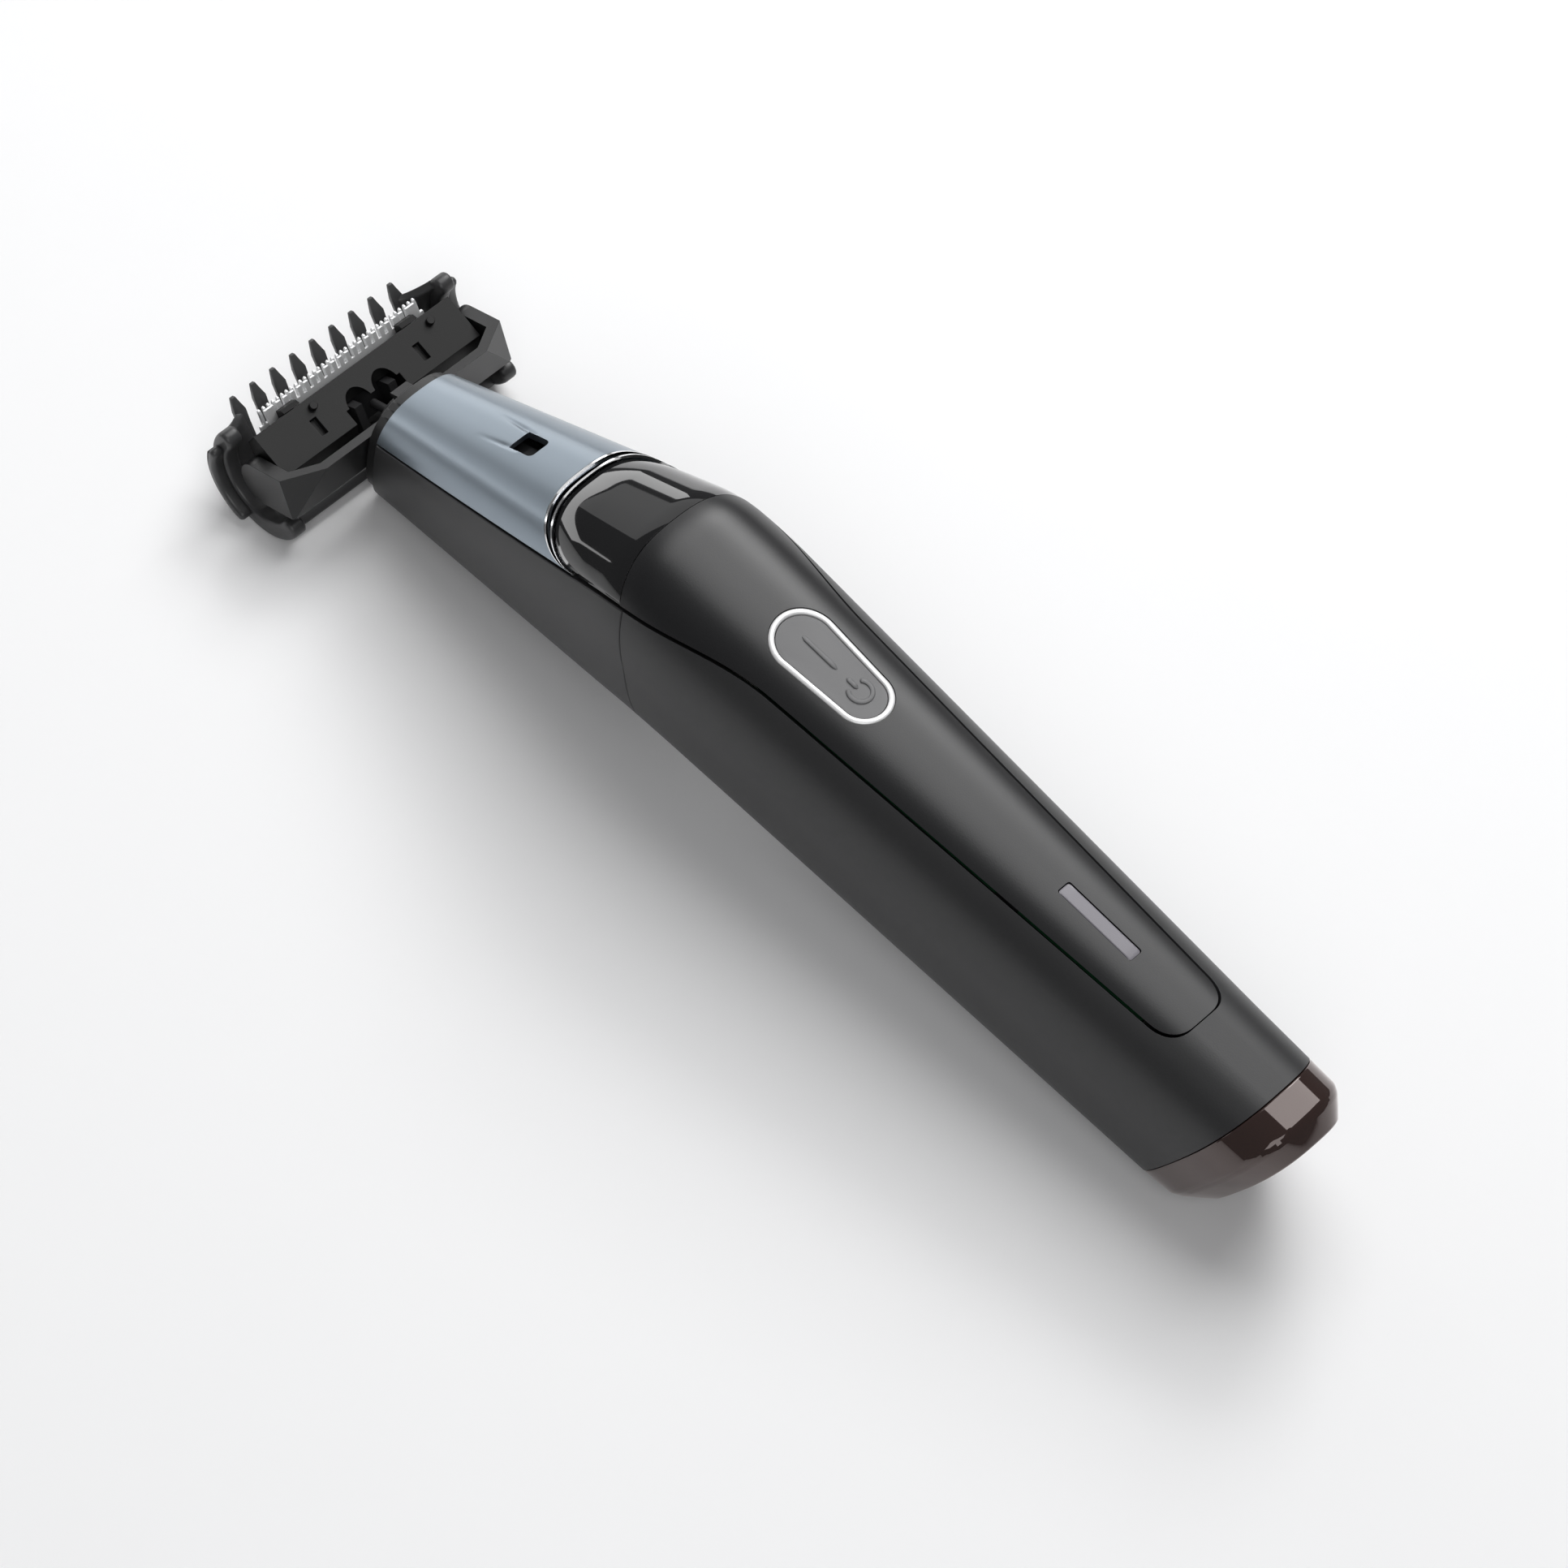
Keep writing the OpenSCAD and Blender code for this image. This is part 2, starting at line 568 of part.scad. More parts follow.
// The tray inside the walls; its long side runs parallel to the yoke's rear wall
tray_slope = 6.5 / (yoke_half_width - 8);
tray_corner = -5.5 + yoke_wall * sqrt(1 + tray_slope * tray_slope) - cheek_wall * tray_slope;
tray_plan = [[cheek_inner, tray_corner], [cheek_inner, 0], [0, 0],
    [0, tray_corner - cheek_inner * tray_slope]];

module yoke_side() {
    circle(r = yoke_h / 2);
    translate([-14, -yoke_h / 2]) square([14, yoke_h]);
}

stem_front = -6.8;
pin_inner = 13.4;
pin_outer = yoke_half_width - 0.6;
module head_yoke() color([0.06, 0.06, 0.065]) placed() {
    difference() {
        on_drive() intersection() {
            mirrored() translate([0, 0, -yoke_h / 2]) linear_extrude(yoke_h) polygon(yoke_plan);
            slab(0, 2 * yoke_half_width + 2) yoke_side();
        }
        behind_neck(0.2);
        difference() {
            on_drive() mirrored() translate([0, 0, tray_floor - yoke_h / 2]) linear_extrude(yoke_h)
                polygon(tray_plan);
            behind_neck(0.2 + yoke_wall);
        }
        on_drive() rod(head_bore_r, -20, 0);
        on_drive() slab(0, 2 * pin_outer) circle(r = pivot_d / 2);
    }
    on_drive() difference() {
        rod(stem_r, stem_rear, stem_front);
        rod(head_bore_r, stem_rear - 1, 0);
    }
}

tongue_v = 5.6;
tongue_t = 0.6;
tongue_half_w = 1.3;
module latch_tongue() color([0.08, 0.08, 0.085]) placed() on_drive() {
    translate([-tongue_half_w, motor_front + 0.4, tongue_v]) cube([2 * tongue_half_w, 27.4, tongue_t]);
    translate([-tongue_half_w, -9.2, stem_r + sliver])
        cube([2 * tongue_half_w, 0.6, tongue_v + tongue_t - stem_r - sliver]);
    translate([-0.9, motor_front + 2.4, tongue_v + tongue_t - sliver]) cube([1.8, 1.6, 0.3]);
}

module pivot_pins() color([0.75, 0.76, 0.78]) placed() on_drive() mirrored()
    translate([pin_inner, 0, 0]) rotate([0, 90, 0]) cylinder(r = pivot_d / 2, h = pin_outer - pin_inner);

// ---- Cartridge ----------------------------------------------------------------------

// Blade frame: the fixed blade's front face lies face_y ahead of the pivot
face_y = 3.27;
root_z = 4.6;             // root of the teeth above the pivot
carrier_half = cheek_inner - 0.3;
cutter_gap = 0.05;
cutter_back = face_y - blade_t - cutter_gap - cutter_t;
carrier_face = cutter_back - 0.12;
cartridge_ridge = [0.4, root_z + 1];
cartridge_rear = [-3.75, 0.95];
carrier_section = [
    [face_y - blade_t - 0.02, -3.3], [face_y - blade_t - 0.02, 1.7], [carrier_face, 1.7],
    [carrier_face, root_z - 0.2], cartridge_ridge, cartridge_rear, [-1.6, -3.3]];
rear_slope = atan2(cartridge_ridge[1] - cartridge_rear[1], cartridge_ridge[0] - cartridge_rear[0]);
window_half = 4.3;

module blade_carrier() color([0.08, 0.08, 0.085]) placed() on_blade() difference() {
    slab(0, 2 * carrier_half) polygon(carrier_section);
    translate([-window_half, -6, -2.5]) cube([2 * window_half, 12, 5]);
    mirrored() translate([2.1, -0.9, 2.3]) rotate([90, 0, 0]) cylinder(r = 1.7, h = 6);
    for (x = [-8.4, 8.4]) translate(concat([x], (cartridge_ridge + cartridge_rear) / 2))
        rotate([rear_slope, 0, 0]) translate([-0.5, -1.7, -0.8]) cube([1, 2.4, 1.6]);
    mirrored() translate([pin_inner - 0.3, 0, 0]) rotate([0, 90, 0])
        cylinder(r = pivot_d / 2 + run_gap, h = yoke_half_width - pin_inner);
}

// A row of teeth as one plate with slots
module toothed_plate(half, z0, z1, pitch, slot_w, slot_l, t) {
    count = floor((2 * half - 1.6) / pitch);
    rotate([90, 0, 0]) linear_extrude(t) difference() {
        translate([-half, z0]) square([2 * half, z1 - z0]);
        for (i = [0:count - 1]) translate([(i - (count - 1) / 2) * pitch - slot_w / 2, z1 - slot_l])
            square([slot_w, slot_l + 1]);
    }
}

module fixed_blade() color([0.82, 0.83, 0.85]) placed() on_blade() translate([0, face_y, 0])
    toothed_plate(blade_half_width, -0.6, root_z + tooth_l, tooth_pitch, tooth_pitch * 0.5, tooth_l, blade_t);

cutter_half = blade_half_width - cutter_travel - 0.4;
module cutter_blade() color([0.78, 0.79, 0.82]) placed() on_blade()
    translate([0, cutter_back + cutter_t, 0])
    toothed_plate(cutter_half, 1.9, root_z + tooth_l - 0.3, tooth_pitch * 1.5, tooth_pitch * 0.7,
        tooth_l - 0.9, cutter_t);

// The knobs stand on the cartridge's sloping rear face, a fifth of the way down it
knob_seat = 0.8 * cartridge_ridge + 0.2 * cartridge_rear;
clip_x = 9.6;
clip_w = 2.6;
module spring_clips() color([0.12, 0.12, 0.125]) placed() on_blade() for (x = [-clip_x, clip_x]) {
    slab(x, clip_w) polygon([[cutter_back - 0.06, root_z - 0.1], [cutter_back - 0.06, root_z + 1],
        [1.2, root_z + 1.35], [0.42, root_z + 1.03]]);
    translate(concat([x + clip_w / 2 + 0.9], knob_seat)) rotate([rear_slope, 0, 0])
        translate([0, 0, sliver]) cylinder(r = 0.55, h = 0.7);
}

fork_half = 3.3;
fork_slot_half = throw + cutter_travel + crank_pin_d / 2 + 0.15;
module drive_fork() color([0.9, 0.9, 0.88]) placed() on_blade() difference() {
    translate([-fork_half, -2.6, -1.8]) cube([2 * fork_half, cutter_back + 2.6 - sliver, 4.1]);
    translate([-fork_slot_half, -4, -3]) cube([2 * fork_slot_half, 4.2, 7]);
}

// ---- Comb ---------------------------------------------------------------------------

arm_inner_r = comb_r - comb_arm_t;
arm_mid_r = comb_r - comb_arm_t / 2;
arm_gap = 0.4;
arm_x = carrier_half + arm_gap + comb_arm_w / 2;

// Part of a ring round the pivot, from angle a0 to a1 measured from +Y towards +Z
module ring_sector(r0, r1, a0, a1) intersection() {
    difference() {
        circle(r = r1);
        circle(r = r0);
    }
    polygon(concat([[0, 0]], [for (i = [0:8]) let (a = a0 + (a1 - a0) * i / 8) 14 * [cos(a), sin(a)]]));
}

module comb_arm(x) {
    slab(x, comb_arm_w) {
        ring_sector(arm_inner_r, comb_r, -148, 33);
        for (a = [-148, 33]) translate(arm_mid_r * [cos(a), sin(a)]) circle(r = comb_arm_t / 2);
    }
    slab(x + (comb_arm_w + 1.5) / 2 - sliver, 1.5) ring_sector(arm_inner_r + 0.4, comb_r - 0.8, -75, 16);
}

fin_outline = [
    [fin_tip_ahead, fin_tip_above], [8.6, -0.7], [7, -3.9], [5.35, -5.65], [4.2, -6.3], [3.7, -5.6],
    [6.2, -2.9], [8.05, 0.2], [8.7, 1.75], [fin_tip_ahead - 0.35, fin_tip_above + 0.15]];

// Webs join the outermost fins to the arms and rise towards the arms in a hollow curve
web_x = 12.9;
web_step = 0.8;
web_tops = [8, 9, 12, 18, 27];

module comb_guard() color([0.2, 0.2, 0.21]) placed() translate([0, pivot_y, pivot_z]) {
    mirrored() comb_arm(arm_x);
    slab(0, 2 * arm_x) ring_sector(comb_r - 1.4, comb_r, -128, -48);
    mirrored() for (i = [0:len(web_tops) - 1]) slab(web_x + (i + 0.5) * web_step, web_step)
        ring_sector(comb_r - 1.2, comb_r, -50, web_tops[i]);
    for (i = [0:fin_count - 1]) slab((i - (fin_count - 1) / 2) * fin_pitch, fin_t) polygon(fin_outline);
}

back_shell();
front_fascia();
gloss_collar();
chrome_trim_front();
chrome_trim_rear();
neck_cover();
neck_shell();
neck_ring();
base_cap();
charge_socket();
socket_contacts();
button_ring();
button_seal();
led_window();
circuit_board();
board_components();
tact_switch();
led_chip();
board_screws();
battery_cell();
battery_tabs();
chassis();
motor_can();
motor_endcap();
motor_leads();
neck_core();
core_screws();
shaft_bush();
power_button();
drive_shaft();
eccentric_cam();
head_yoke();
latch_tongue();
pivot_pins();
blade_carrier();
fixed_blade();
spring_clips();
cutter_blade();
drive_fork();
comb_guard();
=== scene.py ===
"""Looks of a cordless body groomer: smooth skins, the button, the head, finishes and the stage."""

import json
import math
from contextlib import contextmanager

import bmesh
import bpy
from mathutils import Matrix, Vector


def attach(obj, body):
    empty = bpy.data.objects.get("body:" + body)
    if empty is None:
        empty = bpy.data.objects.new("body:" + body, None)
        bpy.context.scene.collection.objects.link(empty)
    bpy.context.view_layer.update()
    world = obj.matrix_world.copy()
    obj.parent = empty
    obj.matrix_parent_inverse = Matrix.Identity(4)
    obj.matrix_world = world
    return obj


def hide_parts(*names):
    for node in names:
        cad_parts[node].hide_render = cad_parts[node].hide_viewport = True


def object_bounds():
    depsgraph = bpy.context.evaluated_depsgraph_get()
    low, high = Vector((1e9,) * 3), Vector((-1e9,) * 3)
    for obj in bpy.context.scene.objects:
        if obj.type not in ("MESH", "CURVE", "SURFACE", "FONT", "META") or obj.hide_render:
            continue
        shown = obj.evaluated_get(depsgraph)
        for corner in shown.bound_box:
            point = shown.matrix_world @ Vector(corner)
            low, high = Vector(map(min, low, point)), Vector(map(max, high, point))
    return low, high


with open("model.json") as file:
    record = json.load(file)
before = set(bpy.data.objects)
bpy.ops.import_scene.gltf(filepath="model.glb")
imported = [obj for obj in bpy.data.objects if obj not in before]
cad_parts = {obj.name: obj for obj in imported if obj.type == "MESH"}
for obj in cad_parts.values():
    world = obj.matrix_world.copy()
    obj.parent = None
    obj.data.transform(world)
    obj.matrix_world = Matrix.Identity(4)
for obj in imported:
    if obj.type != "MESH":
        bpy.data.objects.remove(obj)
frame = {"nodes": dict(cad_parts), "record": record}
cad_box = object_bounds()
MM = 0.001

# Driving sizes of the handle, in millimetres. Stations run from the rear end along Y.
LENGTH = round((cad_box[1][1] - cad_box[0][1]) / MM, 2)
HANDLE = 100.3
NECK_END = HANDLE + 43.8
REAR_TOP, RIDGE_TOP, NECK_TOP = 22.7, 36.4, 20.0
BEND_BOTTOM, NECK_BOTTOM = 9.4, 1.0
REST, BEND_UNDER = 15.8, HANDLE - 5.7
REAR_HALF, BEND_HALF, NECK_HALF = 8.7, 12.5, 7.3
SHELL_WALL, COVER_WALL = 1.5, 1.2
PANEL_GAP, TRIM_W = 0.12, 0.5
FASCIA_REAR, CORNER = 17.8, 3.8
CAP_BAND, CAP_LEAN, DOME, DOME_INSET = 4.1, 0.52, 3.7, 2.4
PITCH = math.atan((RIDGE_TOP - REAR_TOP) / HANDLE)
BUTTON_Y, BUTTON_SPAN, BUTTON_R, BUTTON_TAIL_R, RING_W = HANDLE - 24.9, 9.3, 3.5, 2.9, 0.75
LIGHT_REAR, LIGHT_L, LIGHT_W = 28.0, 11.2, 1.8
PIVOT_Y, PIVOT_Z = NECK_END + 10.1, 7.8
BLADE_PITCH = 26.6


def at(x, y, z):
    """A point in millimetres at a station, as a place in the frame."""
    return Vector((x, y - LENGTH / 2, z)) * MM


# ---- Surface of the body ------------------------------------------------------------


def line(y, y0, v0, y1, v1):
    return v0 + (v1 - v0) * (y - y0) / (y1 - y0)


def soft_min(a, b, k):
    h = max(k - abs(a - b), 0) / k
    return min(a, b) - h * h * k / 4


def top_z(y):
    rear = line(y, 0, REAR_TOP, HANDLE, RIDGE_TOP)
    return soft_min(rear, line(y, HANDLE, RIDGE_TOP, NECK_END, NECK_TOP), 1.6)


def bottom_z(y):
    rear = line(y, REST, 0, BEND_UNDER, BEND_BOTTOM)
    return max(0, soft_min(rear, line(y, BEND_UNDER, BEND_BOTTOM, NECK_END, NECK_BOTTOM), 1.5))


def half_w(y):
    rear = line(y, 0, REAR_HALF, HANDLE, BEND_HALF)
    return soft_min(rear, line(y, HANDLE, BEND_HALF - 0.5, NECK_END, NECK_HALF), 1)


def signed_power(v, p):
    return math.copysign(abs(v) ** p, v)


def skin_xz(y, degrees, inset=0.0):
    """X and Z of the section at a station; degrees run from the top towards +X."""
    a = math.radians(degrees)
    top, bottom, half = top_z(y) - inset, bottom_z(y) + inset, half_w(y) - inset
    n = 2.6 if math.cos(a) >= 0 else 3.2
    x = half * signed_power(math.sin(a), 2 / n)
    return x, (top + bottom) / 2 + (top - bottom) / 2 * signed_power(math.cos(a), 2 / n)


def skin(y, degrees, inset=0.0):
    x, z = skin_xz(y, degrees, inset)
    return at(x, y, z)


def crown(x, y, lift=0.0):
    """A point over the top of the body, lifted along the handle's outward normal."""
    middle, b, half = (top_z(y) + bottom_z(y)) / 2, (top_z(y) - bottom_z(y)) / 2, half_w(y)
    z = middle + b * (1 - min(1, abs(x / half)) ** 2.6) ** (1 / 2.6)
    return at(x, y - lift * math.sin(PITCH), z + lift * math.cos(PITCH))


def ease(v):
    c = min(max(v, 0), 1)
    return c * c * (3 - 2 * c)


def seam(y):
    """Angle of the seam between the top panels and the lower shells."""
    b = ease((y - HANDLE + 22) / 24)
    return (19.5 + 0.2 * y) * (1 - b) + line(y, HANDLE, 59.5, NECK_END, 69) * b


def seam_rounded(y):
    q = min(max((y - FASCIA_REAR) / CORNER, 0), 1)
    return seam(y) * (0.2 + 0.8 * (1 - (1 - q) ** 2.2) ** (1 / 2.2))


def lean_station(degrees, inset, y_top, z_top, lean):
    """Station where a section line meets a plane that leans back from (y_top, z_top)."""
    y = y_top
    for _ in range(5):
        y = y_top + lean * (z_top - skin_xz(y, degrees, inset)[1])
    return y


SEAM_GAP = 1.15
CAP_JOINT = (CAP_BAND + DOME - CAP_LEAN * DOME_INSET) / (1 + CAP_LEAN * math.tan(PITCH))
PARTING = HANDLE - 1.7
TRIM_SEAM, TRIM_APEX = HANDLE + 7.4, HANDLE + 15.4


def cap_edge(degrees, inset, d):
    return lean_station(degrees, inset, CAP_JOINT + d, top_z(CAP_JOINT), CAP_LEAN)


def parting(degrees, inset, d):
    return lean_station(degrees, inset, PARTING + d, top_z(PARTING) - 5.9, -0.19)


def neck_front(degrees, inset, d=0.0):
    return lean_station(degrees, inset, NECK_END + 0.3 + d, NECK_TOP, 0.12)


def cross(t):
    return 2 * t - 1


def matte_edge(t):
    return HANDLE + 1 - 1.9 * cross(t) ** 2


def trim_edge(t, d):
    arch = max(0, 1 - abs(cross(t)) ** 2.2) ** (1 / 2.2)
    return TRIM_SEAM + d * 0.6 + (TRIM_APEX - TRIM_SEAM + d * 0.4) * arch


# ---- Making pieces ------------------------------------------------------------------


def new_object(name, mesh):
    obj = bpy.data.objects.new(name, mesh)
    bpy.context.scene.collection.objects.link(obj)
    return obj


def mesh_piece(name, points, faces):
    mesh = bpy.data.meshes.new(name)
    mesh.from_pydata([tuple(p) for p in points], [], faces)
    mesh.update()
    return new_object(name, mesh)


@contextmanager
def editing(obj):
    """Opens a piece's mesh for editing and writes it back."""
    mesh = bmesh.new()
    mesh.from_mesh(obj.data)
    yield mesh
    mesh.to_mesh(obj.data)
    mesh.free()


def smooth(obj, degrees=32):
    obj.data.shade_smooth()
    obj.data.set_sharp_from_angle(angle=math.radians(degrees))


def round_edges(obj, width, segments=3, degrees=32):
    """Rounds every edge sharper than an angle; width in millimetres."""
    bevel = obj.modifiers.new("rounded", "BEVEL")
    bevel.limit_method = "ANGLE"
    bevel.angle_limit = math.radians(degrees)
    bevel.width = width * MM
    bevel.segments = segments
    weigh = obj.modifiers.new("even_shading", "WEIGHTED_NORMAL")
    weigh.keep_sharp = True
    weigh.weight = 80


def finished(obj, finish, body, slot, *nodes):
    """Gives a piece its finish, the body it moves with and the nodes it stands for."""
    obj.data.materials.clear()
    obj.data.materials.append(finish)
    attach(obj, body)
    if nodes:
        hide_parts(*nodes)
    return obj


def wall(name, outer, inner, bands=0):
    """Closes two grids of points into a wall; the first bands run right round."""
    rows, cols = len(outer), len(outer[0])
    off = rows * cols

    def o(i, j):
        return i * cols + j % cols

    def q(i, j):
        return off + o(i, j)

    def last(i):
        return cols if i < bands else cols - 1

    faces = []
    for i in range(rows - 1):
        for j in range(last(i)):
            faces.append((o(i, j), o(i, j + 1), o(i + 1, j + 1), o(i + 1, j)))
            faces.append((q(i, j), q(i + 1, j), q(i + 1, j + 1), q(i, j + 1)))
        if i >= bands:
            e = cols - 1
            faces.append((o(i, 0), o(i + 1, 0), q(i + 1, 0), q(i, 0)))
            faces.append((o(i, e), q(i, e), q(i + 1, e), o(i + 1, e)))
    faces += [(o(0, j), q(0, j), q(0, j + 1), o(0, j + 1)) for j in range(last(0))]
    end = rows - 1
    faces += [(o(end, j), o(end, j + 1), q(end, j + 1), q(end, j)) for j in range(last(end - 1))]
    if 0 < bands < end:
        faces.append((o(bands, cols - 1), o(bands, 0), q(bands, 0), q(bands, cols - 1)))
    points = [p for row in outer for p in row] + [p for row in inner for p in row]
    return mesh_piece(name, points, faces)


def panel(name, station, angle, insets, steps, across, bands=0, sink=lambda s, t: 0):
    """A curved panel between two depths: station(s, t, inset) and angle(y, t) place each point."""

    def grid(inset, sunk):
        rows = []
        for s in steps:
            row = []
            for t in even(across):
                y = station(s, t, inset)
                row.append(skin(y, angle(y, t), inset + sunk(s, t)))
            rows.append(row)
        return rows

    obj = wall(name, grid(insets[0], sink), grid(insets[1], lambda s, t: 0), bands)
    smooth(obj)
    return obj


def even(n):
    return [i / n for i in range(n + 1)]


def clustered(length):
    """Steps along the handle, close together at the fascia's corners and round the ridge."""
    corner = [CORNER * (1 - math.cos(math.radians(a))) / length for a in range(0, 91, 6)]
    rest = [corner[-1] + (1 - corner[-1]) * s for s in even(96)]
    return corner + rest[1:]


def shell_angle(y, t):
    a = seam_rounded(y + PANEL_GAP) + SEAM_GAP
    return a + t * (360 - 2 * a)


def top_angle(y, t):
    return cross(t) * (seam(y) - SEAM_GAP)


def under_angle(y, t):
    a = seam(y) + SEAM_GAP
    return a + t * (360 - 2 * a)


def back_shell(finish):
    sleeve_end = FASCIA_REAR - PANEL_GAP

    def station(s, t, inset):
        if s < 0:
            start = cap_edge(shell_angle(0, t), inset, PANEL_GAP / 2)
            return start + (sleeve_end - start) * (1 + s)
        return sleeve_end + (parting(shell_angle(PARTING, t), inset, -PANEL_GAP / 2) - sleeve_end) * s

    steps = [s / 10 for s in range(-10, 0)] + clustered(PARTING - sleeve_end)
    obj = panel("back_shell_skin", station, shell_angle, (0, SHELL_WALL), steps, 110, 10)
    round_edges(obj, 0.16)
    return finished(obj, finish, "handle", "shell_black", "back_shell")


def evaluated_mesh(obj):
    depsgraph = bpy.context.evaluated_depsgraph_get()
    return bpy.data.meshes.new_from_object(obj.evaluated_get(depsgraph))


def apply_modifiers(obj):
    shaped = evaluated_mesh(obj)
    obj.modifiers.clear()
    obj.data = shaped


def cut(obj, cutter):
    """Cuts one piece out of another for good."""
    modifier = obj.modifiers.new("cut", "BOOLEAN")
    modifier.object = cutter
    modifier.solver = "EXACT"
    apply_modifiers(obj)
    bpy.data.objects.remove(cutter)
    smooth(obj)


def pill(grow, step=6):
    """Outline of the button: a narrow round tail end and a wide round head end."""
    ends = []
    for sign, radius, start in ((-1, BUTTON_TAIL_R, -90), (1, BUTTON_R, 90)):
        for a in range(start, start + 181, step):
            c, r = math.radians(a), radius + grow
            ends.append((r * math.sin(c), sign * BUTTON_SPAN / 2 - r * math.cos(c)))
    n = len(ends) // 2
    sides = [
        [tuple(a + (b - a) * s / 12 for a, b in zip(p, q)) for s in range(1, 12)]
        for p, q in ((ends[n - 1], ends[n]), (ends[-1], ends[0]))
    ]
    return ends[:n] + sides[0] + ends[n:] + sides[1]


def tube_faces(rows, count):
    """Faces between neighbouring closed outlines of equal length."""
    faces = []
    for r in range(rows - 1):
        for j in range(count):
            k, a, b = (j + 1) % count, r * count, (r + 1) * count
            faces.append((a + j, a + k, b + k, b + j))
    return faces


def end_faces(rows, count):
    return [tuple(range(count)), tuple((rows - 1) * count + j for j in range(count))]


def crowned_rings(name, rings, y_mid):
    """Joins outlines of equal length over the top of the body; a ring is (points, lift)."""
    points = []
    count = len(rings[0][0])
    for outline, lift in rings:
        points += [crown(x, y_mid + y, lift) for x, y in outline]
    return mesh_piece(name, points, tube_faces(len(rings), count)), count


def scaled(outline, f):
    return [(x * f, y * f) for x, y in outline]


def fill_end(obj, first, count, flip):
    with editing(obj) as mesh:
        mesh.verts.ensure_lookup_table()
        ring = [mesh.verts[first + j] for j in range(count)]
        mesh.faces.new(ring[::-1] if flip else ring)
        bmesh.ops.recalc_face_normals(mesh, faces=mesh.faces)


def prism_through(name, outline, y_mid, low, high):
    """A straight-sided cutter that crosses the top of the body."""
    obj, count = crowned_rings(name, [(outline, low), (outline, high)], y_mid)
    fill_end(obj, 0, count, True)
    fill_end(obj, count, count, False)
    return obj


def light_outline(grow, corner=0.35):
    w, length = LIGHT_W / 2 + grow, LIGHT_L / 2 + grow
    points = []
    for cx, cy, start in ((w, -length, -90), (w, length, 0), (-w, length, 90), (-w, -length, 180)):
        for a in range(start, start + 91, 15):
            x = cx - math.copysign(corner, cx) + corner * math.cos(math.radians(a))
            y = cy - math.copysign(corner, cy) + corner * math.sin(math.radians(a))
            points.append((x, y))
    return points


def front_fascia(finish):
    def station(s, t, inset):
        return FASCIA_REAR + (matte_edge(t) - PANEL_GAP / 2 - FASCIA_REAR) * s

    def angle(y, t):
        return cross(t) * (seam_rounded(y) - SEAM_GAP)

    steps = clustered(HANDLE + 1 - FASCIA_REAR)
    obj = panel("front_fascia_skin", station, angle, (0, SHELL_WALL), steps, 56)
    cut(obj, prism_through("button_hole", pill(RING_W + 0.06), BUTTON_Y, -6, 3))
    cut(obj, prism_through("light_hole", light_outline(0.09), LIGHT_REAR + LIGHT_L / 2, -6, 3))
    round_edges(obj, 0.14)
    return finished(obj, finish, "handle", "fascia_black", "front_fascia")


def gloss_collar(finish):
    def station(s, t, inset):
        start = matte_edge(t) + PANEL_GAP / 2
        return start + (trim_edge(t, -TRIM_W - PANEL_GAP) - start) * s

    def shoulder(s, t):
        """The collar rolls off towards its arched front edge."""
        lean = (trim_edge(t + 0.01, 0) - trim_edge(t - 0.01, 0)) / (0.02 * 28)
        away = (1 - s) * (station(1, t, 0) - station(0, t, 0)) / math.hypot(1, lean)
        return 0.42 * max(0, 1 - away / 4.4) ** 2

    obj = panel("gloss_collar_skin", station, top_angle, (0.03, SHELL_WALL), even(60), 120, sink=shoulder)
    round_edges(obj, 0.1)
    return finished(obj, finish, "handle", "gloss_black", "gloss_collar")


def trim(name, d, finish):
    """A thin bright ring, sunk where it faces its neighbour."""

    def station(s, t, inset):
        return trim_edge(t, d + s * TRIM_W * 0.62)

    obj = panel(name + "_skin", station, top_angle, (-0.06, 0.32), even(3), 140)
    round_edges(obj, 0.09)
    return finished(obj, finish, "handle", "chrome_trim", name)


WINDOW_Y, WINDOW_W, WINDOW_L = NECK_END - 18.7, 3.3, 3.6


def window_outline():
    """The latch window: square at the front, rounded at the rear corners."""
    w, length, corner = WINDOW_W / 2, WINDOW_L / 2, 0.7
    points = [(w, length), (-w, length)]
    for cx, start in ((-w + corner, 180), (w - corner, 270)):
        for a in range(start, start + 91, 10):
            c = math.radians(a)
            points.append((cx + corner * math.cos(c), -length + corner + corner * math.sin(c)))
    return points


def neck_cover(finish):
    def station(s, t, inset):
        start = trim_edge(t, 2 * TRIM_W + PANEL_GAP)
        return start + (neck_front(top_angle(NECK_END, t), inset) - start) * s

    def grooved(y, x):
        """Depth of the two fading grooves that run forward from the window's corners."""
        depth, length, width = 0.16, 6.5, 0.3
        ahead = (y - WINDOW_Y - WINDOW_L / 2 + 1.2) / length
        fade = max(0, 1 - abs(2 * ahead - 0.6) / 1.4) if 0 < ahead < 1 else 0
        lines = [side * (1.55 + 0.5 * ahead) for side in (-1, 1)]
        return depth * fade * sum(math.exp(-(((x - line_x) / width) ** 2)) for line_x in lines)

    obj = panel("neck_cover_skin", station, top_angle, (0, COVER_WALL), even(120), 150)
    for vertex in obj.data.vertices:
        y = vertex.co.y / MM + LENGTH / 2
        vertex.co.z -= grooved(y, vertex.co.x / MM) * MM
    cut(obj, prism_through("window_hole", window_outline(), WINDOW_Y, -6, 3))
    round_edges(obj, 0.12)
    return finished(obj, finish, "handle", "cover_blue_grey", "neck_cover")


